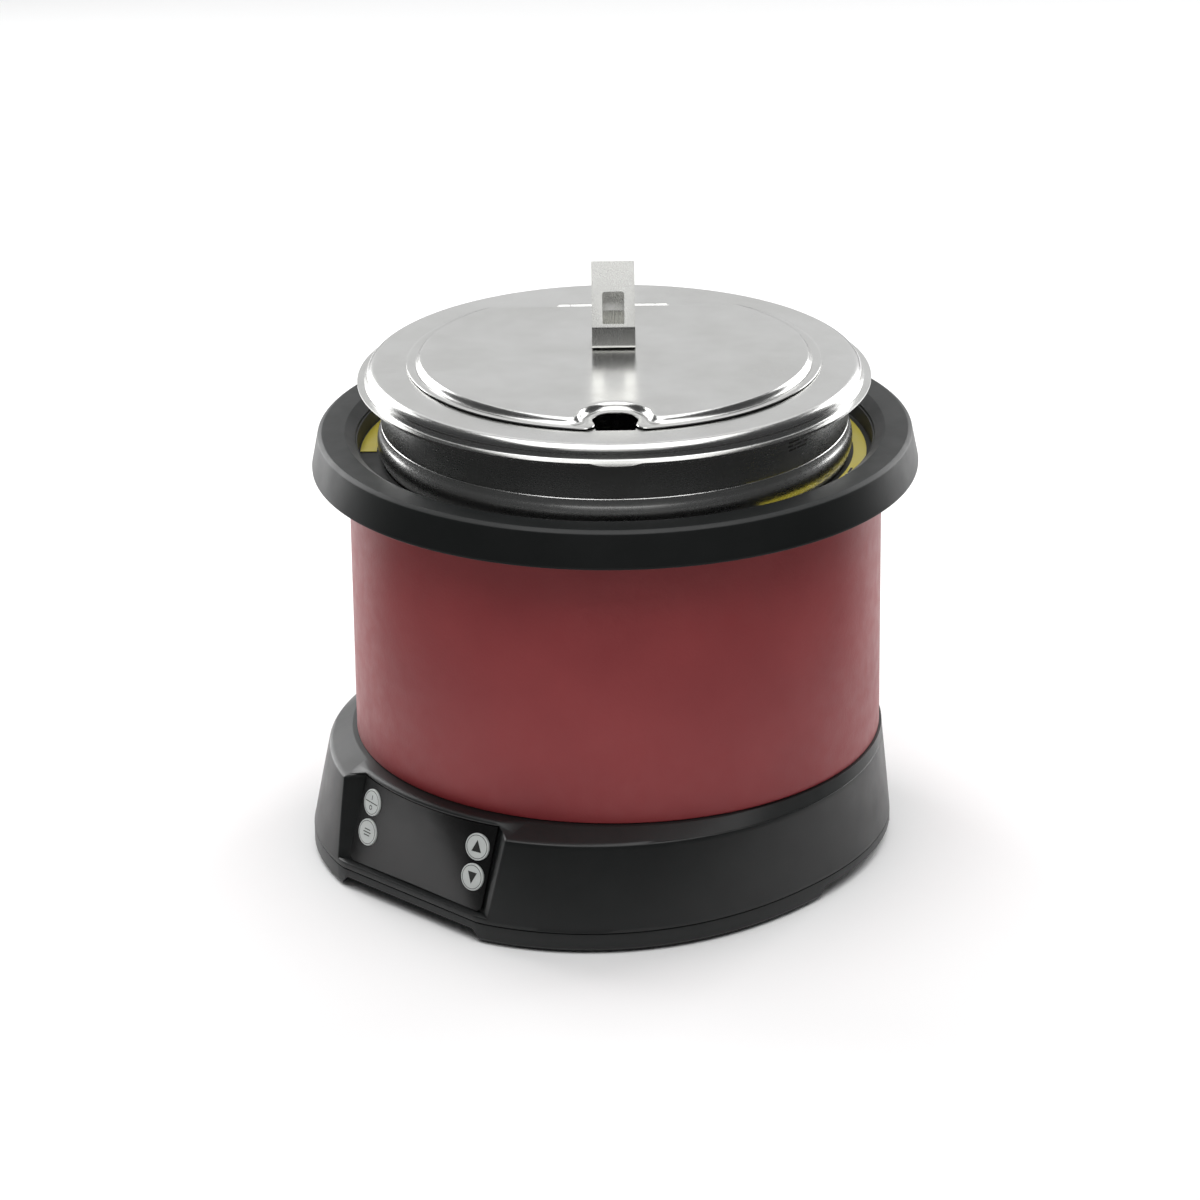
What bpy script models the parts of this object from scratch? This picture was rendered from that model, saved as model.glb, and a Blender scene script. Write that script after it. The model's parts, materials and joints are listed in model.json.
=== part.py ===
"""Induction soup kettle: black moulded base, red sleeve, black rim ring, steel pot and hinged steel lid.

Frame: metres, +Z up, origin on the kettle's axis at the surface it stands on. The control panel
faces -Y. The lid can be set down at any turn and rests with its ladle notch LID_TURN round from
the panel. Profiles and outlines below are in millimetres; MM turns them into metres.
"""
import math

import bmesh
import bpy
from mathutils import Matrix, Vector

MM = 0.001

# Heights, in millimetres
PLINTH_BOTTOM = 1.5
PLATE_BOTTOM, PLATE_TOP = 7.8, 10.3
SEAM_Z = 12.0
LEDGE_Z = 66.8
SHELL_FOOT, SHELL_TOP = 67.1, 241.4
RING_BOTTOM, RING_TOP = 226.0, 247.0
WELL_FLOOR = 66.0
POT_SEAT = 232.0
POT_BOTTOM = 70.0
NECK_FOOT = 251.8
POT_LIP = 275.7
BRIM_Z = 276.0
DECK_Z = 285.4
PLATEAU_Z = 290.2
HINGE_Z = 288.0
HANDLE_BEND_Z, HANDLE_TOP_Z = 303.0, 336.3

# Radii about the kettle's axis
SHELL_R = 151.7
RING_R = 172.5
WELL_R, WELL_LEDGE_R = 132.3, 145.9
POT_R, BULGE_R, NECK_R, POT_LIP_R = 130.6, 134.9, 132.6, 144.0
BRIM_R, LID_WALL_R = 145.3, 140.0
DOOR_R, PLATEAU_R, DECK_OPENING_R, DOOR_CHORD = 117.5, 109.6, 114.0, 85.8
SHOULDER_BEND_R = 5.5  # from the lid's deck down to its wall

# Outlines of the skirt: half-width, half-length, shift towards the panel, and the power that
# squares them off (2 is an ellipse)
SEAM_SHAPE = (160.0, 165.5, 14.0, 2.2)
SHOULDER_SHAPE = (158.0, 163.0, 10.0, 2.0)
LEDGE_SHAPE = (153.4, 153.6, 0.6, 2.0)
SHOULDER_Z = 61.0
SKIN = 3.0

# Control panel: a ruled face from an arc at the ledge to a straight chord above the seam
BAY_HALF_WIDTH = 54.4
CHEEK_FOOT, CHEEK_SPREAD = 5.2, 4.8  # the cheeks open outwards, by more at the shoulder
PANEL_TOP_Z, PANEL_FOOT_Z = 66.6, 16.7
PANEL_ARC_R, PANEL_CHORD_Y = 160.8, 168.2
OVERLAY_THICK, OVERLAY_GAP = 1.3, 0.6
BAR_Y = 172.2
BUTTON_R, BUTTON_STAND = 7.7, 0.9
BUTTONS = {
    "button_power": (-41.0, 52.2),
    "button_function": (-41.0, 35.3),
    "button_up": (42.9, 50.8),
    "button_down": (42.9, 33.9),
}

# Lid, in its own frame: front towards -Y, hinge behind the middle
LID_TURN = 43.85
HINGE_BACK, HINGE_LENGTH, DOOR_KNUCKLE_LENGTH = 87.0, 63.0, 48.8
KNUCKLE_R, BORE_R, PIN_R = 2.2, 1.3, 1.0
NOTCH_WIDTH, NOTCH_DEPTH = 25.0, 27.0
STRAP_WIDTH, STRAP_THICK, HANDLE_BACK, HANDLE_LEAN = 24.5, 1.5, 5.0, 18.5
REAR_LEG_BACK, REAR_LEG_LEAN, REAR_LEG_TOP_Z = 35.0, 7.0, 317.0
SLOT_WIDTH, SLOT_LENGTH, SLOT_CORNER, SLOT_RISE = 12.4, 18.5, 1.8, 1.8
SHEET = 1.0

ROUND = 48  # sides of a large turned piece

# Feet and arches repeat three times round the plinth
FOOT_ANGLES = (-30.0, 90.0, 210.0)
ARCH_ANGLES = (-90.0, 24.0, 156.0)
BOSS_CIRCLE, BOSS_SHIFT, BOSS_R = 154.8, 9.7, 5.0
GLAND_ANGLE, GLAND_Z = 70.0, 34.0

# Induction unit
COIL_TOP = 62.0
FAN_X, FAN_Y, FAN_R = 62.0, 28.0, 37.0
BOARD_Z = 17.0

FINISHES = {
    "black_plastic": ((0.020, 0.021, 0.021), 0.38, 0.0),
    "black_ring": ((0.030, 0.032, 0.032), 0.45, 0.0),
    "red_coat": ((0.270, 0.045, 0.047), 0.42, 0.0),
    "well_plastic": ((0.016, 0.016, 0.017), 0.55, 0.0),
    "steel": ((0.62, 0.62, 0.61), 0.18, 1.0),
    "label_yellow": ((0.72, 0.60, 0.06), 0.45, 0.0),
    "panel_film": ((0.010, 0.010, 0.010), 0.20, 0.0),
    "button_grey": ((0.42, 0.45, 0.44), 0.50, 0.0),
    "rubber": ((0.020, 0.020, 0.020), 0.85, 0.0),
    "zinc": ((0.55, 0.55, 0.53), 0.35, 1.0),
    "wool": ((0.62, 0.60, 0.52), 0.95, 0.0),
    "copper": ((0.72, 0.32, 0.14), 0.35, 1.0),
    "ferrite": ((0.035, 0.035, 0.040), 0.70, 0.0),
    "tray_plastic": ((0.16, 0.14, 0.12), 0.60, 0.0),
    "board_green": ((0.020, 0.140, 0.060), 0.50, 0.0),
    "aluminium": ((0.70, 0.71, 0.72), 0.35, 1.0),
    "capacitor_blue": ((0.03, 0.07, 0.28), 0.45, 0.0),
    "display_glass": ((0.030, 0.010, 0.010), 0.15, 0.0),
}


# ---------------------------------------------------------------- helpers

def clear_scene():
    for obj in list(bpy.data.objects):
        bpy.data.objects.remove(obj, do_unlink=True)


def finish_material(slot):
    material = bpy.data.materials.get(slot)
    if material:
        return material
    colour, roughness, metallic = FINISHES[slot]
    material = bpy.data.materials.new(slot)
    material.use_nodes = True
    shader = material.node_tree.nodes["Principled BSDF"]
    shader.inputs["Base Color"].default_value = (*colour, 1.0)
    shader.inputs["Roughness"].default_value = roughness
    shader.inputs["Metallic"].default_value = metallic
    return material


def add_object(name, data, slot=None, parent=None, location=(0, 0, 0), rotation=(0, 0, 0)):
    """Links an object; a location is in millimetres in its parent's frame, a rotation in degrees."""
    obj = bpy.data.objects.new(name, data)
    bpy.context.scene.collection.objects.link(obj)
    obj.location = [c * MM for c in location]
    obj.rotation_euler = [math.radians(a) for a in rotation]
    obj.parent = parent
    if slot:
        obj.data.materials.append(finish_material(slot))
    return obj


def add_empty(name, **place):
    return add_object(name, None, **place)


def mesh_from(name, bm):
    bmesh.ops.recalc_face_normals(bm, faces=bm.faces)
    mesh = bpy.data.meshes.new(name)
    bm.to_mesh(mesh)
    bm.free()
    mesh.shade_smooth()
    mesh.set_sharp_from_angle(angle=math.radians(32))
    return mesh


def turned_mesh(name, profile, steps=ROUND):
    """Turns a closed (radius, z) outline about Z; a side that lies on the axis is left out."""
    bm = bmesh.new()
    verts = [bm.verts.new((r * MM, 0, z * MM)) for r, z in profile]
    sides = zip(verts, verts[1:] + verts[:1])
    edges = [bm.edges.new((a, b)) for a, b in sides if a.co.x or b.co.x]
    bmesh.ops.spin(bm, geom=verts + edges, cent=(0, 0, 0), axis=(0, 0, 1),
                   angle=2 * math.pi, steps=steps, use_merge=True)
    bmesh.ops.remove_doubles(bm, verts=bm.verts, dist=1e-7)
    return mesh_from(name, bm)


def turned(name, profile, slot, steps=ROUND, **place):
    return add_object(name, turned_mesh(name, profile, steps), slot, **place)


def sheet_outline(points, thickness):
    """Closes a line of points into a band by stepping every point to the right of the line."""
    line = [Vector(p) for p in points]
    back = []
    for i, point in enumerate(line):
        before = (point - line[i - 1]).normalized() if i else (line[1] - point).normalized()
        after = (line[i + 1] - point).normalized() if i + 1 < len(line) else before
        normal = Vector((before.y + after.y, -before.x - after.x)).normalized()
        step = thickness / max(normal.dot(Vector((before.y, -before.x))), 0.5)
        moved = point + normal * step
        if point.x == 0:
            moved.x = 0
        back.append(moved)
    return [tuple(p) for p in line] + [tuple(p) for p in reversed(back)]


def prism_mesh(name, outline, low, high, plane="XY"):
    """Extrudes a flat outline from low to high along the axis that its plane leaves out."""
    place = {
        "XY": lambda a, b, c: (a, b, c),
        "YZ": lambda a, b, c: (c, a, b),
        "XZ": lambda a, b, c: (a, c, b),
    }[plane]
    bm = bmesh.new()
    loops = []
    for level in (low, high):
        loops.append([bm.verts.new(Vector(place(a, b, level)) * MM) for a, b in outline])
    bm.faces.new(loops[0])
    bm.faces.new(loops[1])
    count = len(outline)
    for i in range(count):
        j = (i + 1) % count
        bm.faces.new((loops[0][i], loops[0][j], loops[1][j], loops[1][i]))
    return mesh_from(name, bm)


def prism(name, outline, low, high, slot, plane="XY", **place):
    return add_object(name, prism_mesh(name, outline, low, high, plane), slot, **place)


def boxes_mesh(name, boxes):
    """One mesh of separate boxes, each given as (centre, size)."""
    bm = bmesh.new()
    for centre, size in boxes:
        scale = Matrix.Diagonal([s * MM for s in size] + [1])
        bmesh.ops.create_cube(bm, size=1, matrix=Matrix.Translation(Vector(centre) * MM) @ scale)
    return mesh_from(name, bm)


def block(name, size, slot, centre=(0, 0, 0), **place):
    return add_object(name, boxes_mesh(name, [(centre, size)]), slot, **place)


def rod_mesh(name, radius, low, high, steps=32):
    return turned_mesh(name, [(0, low), (radius, low), (radius, high), (0, high)], steps)


def lofted_mesh(name, rings, closed):
    """Skins rings of equal point count; without closed, the first and last ring are capped."""
    bm = bmesh.new()
    loops = [[bm.verts.new(Vector(p) * MM) for p in ring] for ring in rings]
    count = len(loops[0])
    pairs = list(zip(loops, loops[1:]))
    if closed:
        pairs.append((loops[-1], loops[0]))
    for lower, upper in pairs:
        for i in range(count):
            j = (i + 1) % count
            bm.faces.new((lower[i], lower[j], upper[j], upper[i]))
    if not closed:
        bm.faces.new(loops[0])
        bm.faces.new(loops[-1])
    return mesh_from(name, bm)


def combine(obj, mesh, operation, **place):
    """Cuts a mesh out of an object, or unites the two, with a hidden guide object."""
    guide = add_object(f"{obj.name}_{operation.lower()}_{len(obj.modifiers)}", mesh, **place)
    guide.hide_render = True
    guide.display_type = "WIRE"
    modifier = obj.modifiers.new(guide.name, "BOOLEAN")
    modifier.operation = operation
    modifier.object = guide


def cut(obj, mesh, **place):
    combine(obj, mesh, "DIFFERENCE", **place)


def unite(obj, mesh, **place):
    combine(obj, mesh, "UNION", **place)


def arc(centre, radius, start, end, steps):
    """Points on an arc, angles in degrees."""
    angles = [math.radians(start + (end - start) * i / steps) for i in range(steps + 1)]
    return [(centre[0] + radius * math.cos(a), centre[1] + radius * math.sin(a)) for a in angles]


def polar(radius, angle, shift=0.0):
    """A point on a circle whose centre is slid towards the panel by shift."""
    a = math.radians(angle)
    return radius * math.cos(a), radius * math.sin(a) - shift


# ---------------------------------------------------------------- skirt geometry

def blend(first, second, t):
    return tuple(a + (b - a) * t for a, b in zip(first, second))


def inset_shape(shape, inset):
    half_x, half_y, shift, power = shape
    return half_x - inset, half_y - inset, shift, power


def skirt_shape(z, inset=0.0):
    """The skirt's outline at a height between the seam and the shoulder."""
    shape = blend(SEAM_SHAPE, SHOULDER_SHAPE, (z - SEAM_Z) / (SHOULDER_Z - SEAM_Z))
    return inset_shape(shape, inset)


def ledge_shape(z):
    """The outline of the sloping ledge between the shoulder and the sleeve."""
    return blend(SHOULDER_SHAPE, LEDGE_SHAPE, (z - SHOULDER_Z) / (LEDGE_Z - SHOULDER_Z))


def round_shape(radius):
    return radius, radius, 0.0, 2.0


def shape_point(shape, angle):
    """The point of an outline at an angle in radians about its own middle."""
    half_x, half_y, shift, power = shape
    sums = (abs(math.cos(angle)) / half_x) ** power + (abs(math.sin(angle)) / half_y) ** power
    reach = sums ** (-1 / power)
    return reach * math.cos(angle), reach * math.sin(angle) - shift


def shape_y(shape):
    """The outline's front, as y for a given x."""
    half_x, half_y, shift, power = shape
    return lambda x: -shift - half_y * (1 - (abs(x) / half_x) ** power) ** (1 / power)


def panel_y(x, z):
    """The panel's front face: an arc at the top that straightens on the way down."""
    s = (PANEL_TOP_Z - z) / (PANEL_TOP_Z - PANEL_FOOT_Z)
    arc_y = math.sqrt(PANEL_ARC_R ** 2 - x ** 2)
    return -(arc_y + (PANEL_CHORD_Y - arc_y) * s)


def skirt_ring(z, shape, bay=None, inset=0.0, arc_steps=44, bay_steps=8):
    """Points round the skirt: the long way round, then the bay's face between its two cheeks."""
    bay = bay or shape_y(shape)
    opened = CHEEK_FOOT + CHEEK_SPREAD * min((z - SEAM_Z) / (SHOULDER_Z - SEAM_Z), 1)
    cheek = BAY_HALF_WIDTH + inset + opened
    shift = shape[2]
    first = math.atan2(shape_y(shape)(cheek) + shift, cheek)
    turn = (math.pi - 2 * first) / arc_steps
    points = [(*shape_point(shape, first + turn * i), z) for i in range(arc_steps + 1)]
    floor_half = BAY_HALF_WIDTH + inset - 1.0
    for i in range(bay_steps + 1):
        x = -floor_half + 2 * floor_half * i / bay_steps
        points.append((x, bay(x), z))
    return points


def panel_frame(x, z):
    """Matrix at a point of the panel's face: local Z points out of it, local Y up along it."""
    point = Vector((x, panel_y(x, z), z))
    along = Vector((1, panel_y(x + 0.5, z) - panel_y(x - 0.5, z), 0)).normalized()
    up = Vector((0, panel_y(x, z + 0.5) - panel_y(x, z - 0.5), 1)).normalized()
    out = along.cross(up).normalized()
    matrix = Matrix((along, out.cross(along), out)).transposed().to_4x4()
    matrix.translation = point * MM
    return matrix


def gland_place():
    """Where the cord collar crosses the skirt, with its axis pointing out of it."""
    spot = shape_point(skirt_shape(GLAND_Z), math.radians(GLAND_ANGLE))
    return {"location": (*spot, GLAND_Z), "rotation": (-90, 0, GLAND_ANGLE - 90)}


# ---------------------------------------------------------------- base

def make_base_housing():
    recess = OVERLAY_THICK + OVERLAY_GAP
    seam, bar_top, lip_z = SEAM_Z + 0.3, 16.0, 64.0
    face = lambda z, back: lambda x: panel_y(x, z) + back
    bar = lambda x: -BAR_Y
    lip = lambda radius: shape_y(round_shape(radius))
    under = LEDGE_Z - SKIN
    rings = [
        skirt_ring(seam, skirt_shape(seam), bar),
        skirt_ring(bar_top, skirt_shape(bar_top), bar),
        *(skirt_ring(z, skirt_shape(z), face(z, recess)) for z in (bar_top + 0.3, 31.0, 46.0, SHOULDER_Z)),
        skirt_ring(lip_z - 0.1, ledge_shape(lip_z - 0.1), face(lip_z - 0.1, recess)),
        skirt_ring(lip_z, ledge_shape(lip_z), lip(161.4)),
        skirt_ring(65.4, ledge_shape(65.4), lip(161.2)),
        skirt_ring(66.5, ledge_shape(66.5), lip(160.0)),
        skirt_ring(LEDGE_Z, LEDGE_SHAPE),
        skirt_ring(LEDGE_Z, round_shape(WELL_R + 4)),
        skirt_ring(under, round_shape(WELL_R + 4)),
        skirt_ring(under - 0.2, inset_shape(LEDGE_SHAPE, 2), inset=SKIN),
        skirt_ring(58.0, skirt_shape(58.0, SKIN), face(58.0, recess + SKIN), SKIN),
        skirt_ring(16.3, skirt_shape(16.3, SKIN), face(16.3, recess + SKIN), SKIN),
        skirt_ring(seam, skirt_shape(seam, SKIN), face(16.3, recess + SKIN), SKIN),
    ]
    housing = add_object("base_housing", lofted_mesh("base_housing", rings, closed=True), "black_plastic")
    for angle in FOOT_ANGLES:
        spot = (*polar(BOSS_CIRCLE, angle, BOSS_SHIFT), 0)
        unite(housing, rod_mesh("boss", BOSS_R, PLATE_TOP + 0.3, 50, 16), location=spot)
        cut(housing, rod_mesh("boss_hole", 2.0, 5, 26, 12), location=spot, rotation=(0, 0, 8))
    for x, z in BUTTONS.values():
        guide = rod_mesh("stem_hole", 5.0, -9, 4, 16)
        guide.transform(panel_frame(x, z) @ Matrix.Rotation(0.1, 4, "Z"))
        cut(housing, guide)
    window = boxes_mesh("window", [((0, 0, -2), (50, 20, 16))])
    window.transform(panel_frame(0, 42))
    cut(housing, window)
    cut(housing, rod_mesh("gland_hole", 8.3, -12, 12, 20), **gland_place())
    return housing


def make_bottom_pan():
    inside = SKIN + 0.3
    around = lambda inset: inset_shape(SEAM_SHAPE, inset)
    bar = lambda inset: lambda x: inset - BAR_Y
    middle = round_shape(60)
    rings = [
        skirt_ring(PLATE_BOTTOM, middle),
        skirt_ring(PLATE_BOTTOM, around(inside), bar(SKIN)),
        skirt_ring(PLINTH_BOTTOM, around(inside), bar(SKIN)),
        skirt_ring(PLINTH_BOTTOM, around(1.4), bar(1.2)),
        skirt_ring(3.2, SEAM_SHAPE, bar(0)),
        skirt_ring(SEAM_Z, SEAM_SHAPE, bar(0)),
        skirt_ring(SEAM_Z, around(inside), bar(SKIN)),
        skirt_ring(PLATE_TOP, around(inside + 0.3), bar(SKIN + 0.3)),
        skirt_ring(PLATE_TOP, middle),
    ]
    pan = add_object("bottom_pan", lofted_mesh("bottom_pan", rings, closed=False), "black_plastic")
    for angle in ARCH_ANGLES:
        arch = [(-58.5, -1), (58.5, -1), (50.5, 7.3), (-50.5, 7.3)]
        mesh = prism_mesh("arch", arch, 132, 200, plane="XZ")
        cut(pan, mesh, location=(0, -SEAM_SHAPE[2], 0), rotation=(0, 0, angle - 90))
    vents = [((FAN_X, FAN_Y + 9 * i, 9), (64, 4, 6)) for i in range(-3, 4)]
    vents += [((-50 + 20 * i, 118, 9), (6, 34, 6)) for i in range(6)]
    cut(pan, boxes_mesh("vents", vents))
    for angle in FOOT_ANGLES:
        spot = (*polar(BOSS_CIRCLE, angle, BOSS_SHIFT), 0)
        cut(pan, rod_mesh("screw_hole", 2.2, 5, 14, 12), location=spot, rotation=(0, 0, 8))
        cut(pan, rod_mesh("boss_room", BOSS_R + 0.35, PLATE_TOP - 0.1, SEAM_Z + 1, 16), location=spot)
        cut(pan, rod_mesh("head_room", 4.0, PLINTH_BOTTOM - 1, PLATE_BOTTOM, 16), location=spot)
    return pan


def make_feet_and_screws():
    for i, angle in enumerate(FOOT_ANGLES, 1):
        foot = [(0, 0), (10, 0), (11, 1), (11, PLATE_BOTTOM - 0.3), (0, PLATE_BOTTOM - 0.3)]
        turned(f"rubber_foot_{i}", foot, "rubber", 20, location=(*polar(134, angle, 10.5), 0))
        head = PLATE_BOTTOM - 0.3
        screw = [(0, head - 2.2), (3.0, head - 2.2), (3.6, head - 1.4), (3.6, head)]
        screw += [(1.6, head), (1.6, 24), (0, 25)]
        turned(f"pan_screw_{i}", screw, "zinc", 10, location=(*polar(BOSS_CIRCLE, angle, BOSS_SHIFT), 0))


def make_cord_gland():
    """Collar in the back of the skirt where a mains cord would enter."""
    profile = [(4.0, -9), (8.0, -9), (8.0, 1.2), (11, 1.2), (11, 3.0), (9.5, 5), (6, 9), (4.0, 9)]
    turned("cord_gland", profile, "rubber", 20, **gland_place())


# ---------------------------------------------------------------- panel

def make_panel_overlay():
    half, low, high = BAY_HALF_WIDTH - 1.6, PANEL_FOOT_Z, 63.6
    columns, rows = 10, 3
    grid = [(-half + 2 * half * i / columns, low + (high - low) * j / rows)
            for j in range(rows + 1) for i in range(columns + 1)]
    bm = bmesh.new()
    fronts = [bm.verts.new(Vector((x, panel_y(x, z), z)) * MM) for x, z in grid]
    backs = [bm.verts.new(Vector((x, panel_y(x, z) + OVERLAY_THICK, z)) * MM) for x, z in grid]
    width = columns + 1
    for j in range(rows):
        for i in range(columns):
            corner = j * width + i
            for side in (fronts, backs):
                bm.faces.new([side[k] for k in (corner, corner + 1, corner + width + 1, corner + width)])
    rim = list(range(width)) + [j * width + columns for j in range(1, rows + 1)]
    rim += [rows * width + i for i in reversed(range(columns))] + [j * width for j in reversed(range(1, rows))]
    for a, b in zip(rim, rim[1:] + rim[:1]):
        bm.faces.new((fronts[a], fronts[b], backs[b], backs[a]))
    overlay = add_object("panel_overlay", mesh_from("panel_overlay", bm), "panel_film")
    for x, z in BUTTONS.values():
        guide = rod_mesh("button_hole", BUTTON_R + 0.35, -6, 6, 24)
        guide.transform(panel_frame(x, z))
        cut(overlay, guide)


def make_buttons():
    for name, (x, z) in BUTTONS.items():
        top = BUTTON_STAND
        stem = [(0, -6.0), (3.6, -6.0), (3.6, -1.0)]
        cap = stem + [(BUTTON_R, -1.0), (BUTTON_R, top - 0.3), (BUTTON_R - 0.5, top), (0, top)]
        button = turned(name, cap, "button_grey", 24)
        frame = panel_frame(x, z)
        button.location = frame.translation
        button.rotation_euler = frame.to_euler()


def make_control_board():
    """Board behind the bay, tilted with the panel, with the display standing in the window."""
    frame = panel_frame(0, 38)
    depth = 22.0
    for name, centre, size, slot in (
        ("control_board", (0, 0, -depth), (96, 36, 1.6), "board_green"),
        ("display_module", (0, 4, -depth + 0.8 + 0.3 + 8.0), (46, 17, 16), "display_glass"),
    ):
        item = block(name, size, slot, centre)
        item.location = frame.translation
        item.rotation_euler = frame.to_euler()


# ---------------------------------------------------------------- body

def make_outer_shell():
    wall = 0.8
    turned("outer_shell", [(SHELL_R - wall, SHELL_FOOT), (SHELL_R, SHELL_FOOT), (SHELL_R, SHELL_TOP),
                           (SHELL_R - wall, SHELL_TOP)], "red_coat")


def make_rim_ring():
    wall, top = 3.0, RING_TOP
    lip = SHELL_TOP + 0.3
    outer = [(RING_R - 0.1, RING_BOTTOM), (RING_R, RING_BOTTOM + 1.5), (169.2, top - 2.4), (168.2, top - 0.6),
             (166.4, top), (153.4, top), (147.6, lip + 0.5), (147.4, lip)]
    inner = [(150.5, lip), (154.6, top - wall), (165.6, top - wall), (166.4, top - wall - 0.6),
             (RING_R - wall, RING_BOTTOM + 1.6), (RING_R - wall - 0.1, RING_BOTTOM)]
    turned("rim_ring", outer + inner, "black_ring")


def make_well():
    hole, wall, low = 11.5, 2.0, WELL_FLOOR - 3
    lip = SHELL_TOP
    profile = [
        (hole, WELL_FLOOR), (WELL_R - 4, WELL_FLOOR), (WELL_R, WELL_FLOOR + 4), (WELL_R, POT_SEAT - 0.5),
        (WELL_R + 0.5, POT_SEAT), (WELL_LEDGE_R - 0.5, POT_SEAT), (WELL_LEDGE_R, POT_SEAT + 0.5),
        (WELL_LEDGE_R + 0.5, lip), (WELL_LEDGE_R + 2.5, lip), (WELL_LEDGE_R + wall, POT_SEAT - 2.5),
        (WELL_R + wall, POT_SEAT - 2.5), (WELL_R + wall, WELL_FLOOR + 3), (WELL_R - 2.6, low), (hole, low),
    ]
    turned("inner_well", profile, "well_plastic")


def make_caution_labels():
    """Two plain stickers lying on the well's ledge."""
    low, high = POT_SEAT + 0.3, POT_SEAT + 0.6
    for name, outer, start, end in (
        ("caution_label_left", 145.0, 154, 224),
        ("caution_label_right", 143.0, -8, 64),
    ):
        outline = arc((0, 0), outer, start, end, 24) + arc((0, 0), 135.6, end, start, 24)
        prism(name, outline, low, high, "label_yellow")


def make_insulation():
    low, high = SHELL_FOOT + 0.5, POT_SEAT - 3.0
    inner, outer = WELL_R + 2.5, SHELL_R - 1.3
    turned("insulation_sleeve", [(inner, low), (outer, low), (outer, high), (inner, high)], "wool")


# ---------------------------------------------------------------- induction unit

def make_coil():
    rim = [(9.8, 53), (112, 53), (112, 59.5), (110.5, 59.5), (110.5, 55), (9.8, 55)]
    tray = turned("coil_tray", rim, "tray_plastic", 36)
    for angle in (-30, 100, 250):
        unite(tray, rod_mesh("leg", 4, PLATE_TOP + 0.3, 54, 12), location=(*polar(108, angle), 0))
    turns, per_turn, inner, outer = 6, 20, 34.0, 108.0
    width, low, high = 8.0, 55.3, COIL_TOP - 2.0
    bm = bmesh.new()
    loops = []
    for i in range(turns * per_turn + 1):
        angle = 2 * math.pi * i / per_turn
        radius = inner + (outer - inner - width) * i / (turns * per_turn)
        section = ((radius, low), (radius + width, low), (radius + width, high), (radius, high))
        across = Vector((math.cos(angle), math.sin(angle), 0))
        loops.append([bm.verts.new((across * r + Vector((0, 0, z))) * MM) for r, z in section])
    for a, b in zip(loops, loops[1:]):
        for i in range(4):
            bm.faces.new((a[i], a[(i + 1) % 4], b[(i + 1) % 4], b[i]))
    bm.faces.new(loops[0])
    bm.faces.new(loops[-1])
    add_object("induction_coil", mesh_from("induction_coil", bm), "copper")
    for i in range(6):
        block(f"ferrite_bar_{i + 1}", (62, 14, 5), "ferrite", (66, 0, 50.1), rotation=(0, 0, 60 * i + 50))


def make_sensor():
    top = POT_BOTTOM - 0.3
    stem = [(0, 55), (2.4, 55), (2.4, top - 3)]
    face = [(10.5, top - 3), (10.5, top - 0.6), (9.9, top), (0, top)]
    turned("sensor_cap", stem + face, "aluminium", 24)
    cup = [(3.0, 50), (9.4, 50), (9.4, 62.5), (7.6, 62.5), (7.6, 53), (3.0, 53)]
    turned("sensor_holder", cup, "tray_plastic", 20)
    turns, per_turn, radius, low, high = 5, 10, 5.2, 54.0, top - 4.0
    curve = bpy.data.curves.new("sensor_spring", "CURVE")
    curve.dimensions = "3D"
    curve.bevel_depth = 0.5 * MM
    curve.bevel_resolution = 1
    curve.use_fill_caps = True
    spline = curve.splines.new("POLY")
    spline.points.add(turns * per_turn)
    for i, point in enumerate(spline.points):
        angle = 2 * math.pi * i / per_turn
        z = low + (high - low) * i / (turns * per_turn)
        point.co = (radius * math.cos(angle) * MM, radius * math.sin(angle) * MM, z * MM, 1)
    add_object("sensor_spring", curve, "zinc")


def make_electronics():
    low = PLATE_TOP + 0.3
    on_board = BOARD_Z + 1.1
    block("power_board", (76, 130, 1.6), "board_green", (-58, 0, BOARD_Z))
    for i, (x, y) in enumerate(((-90, -58), (-26, -58), (-90, 58), (-26, 58)), 1):
        spacer = rod_mesh("spacer", 3.5, low, BOARD_Z - 1.1, 12)
        add_object(f"board_spacer_{i}", spacer, "tray_plastic", location=(x, y, 0))
    base, fin, pitch, count, top = on_board, 2.0, 6.0, 9, 44.0
    outline = [(0, base), (0, top)]
    for i in range(count):
        left = i * pitch
        outline += [(left + fin, top), (left + fin, base + 4)] if i + 1 < count else [(left + fin, top)]
        outline += [(left + pitch, base + 4), (left + pitch, top)] if i + 1 < count else [(left + fin, base)]
    prism("heat_sink", outline, -38, 38, "aluminium", plane="XZ", location=(-72, 0, 0))
    can = rod_mesh("bus_capacitor", 11, on_board, 42, 24)
    add_object("bus_capacitor", can, "capacitor_blue", location=(-78, 52, 0))
    block("line_filter", (26, 16, 22), "tray_plastic", (-44, 52, on_board + 11))


def make_fan():
    low, high = PLATE_TOP + 0.3, 30.0
    frame = block("fan_frame", (80, 80, high - low), "black_plastic", (FAN_X, FAN_Y, (low + high) / 2))
    cut(frame, rod_mesh("duct", FAN_R + 1.5, low + 2.2, high + 5, 28), location=(FAN_X, FAN_Y, 0))
    slots = [((FAN_X, FAN_Y + 9 * i, low), (56 - 5 * abs(i), 4, 8)) for i in range(-3, 4)]
    cut(frame, boxes_mesh("grille", slots))
    rotor = add_object("fan_rotor", rod_mesh("fan_rotor", 14, low + 3, high - 1, 20), "black_plastic",
                       location=(FAN_X, FAN_Y, 0))
    bm = bmesh.new()
    blades = 7
    for i in range(blades):
        turn = Matrix.Rotation(2 * math.pi * i / blades, 4, "Z")
        pitch = Matrix.Rotation(math.radians(38), 4, "X")
        place = Matrix.Translation(Vector((24.5, 0, 21)) * MM) @ pitch
        size = Matrix.Diagonal((24 * MM, 15 * MM, 1.4 * MM, 1))
        bmesh.ops.create_cube(bm, size=1, matrix=turn @ place @ size)
    unite(rotor, mesh_from("blades", bm), location=(FAN_X, FAN_Y, 0))


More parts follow.
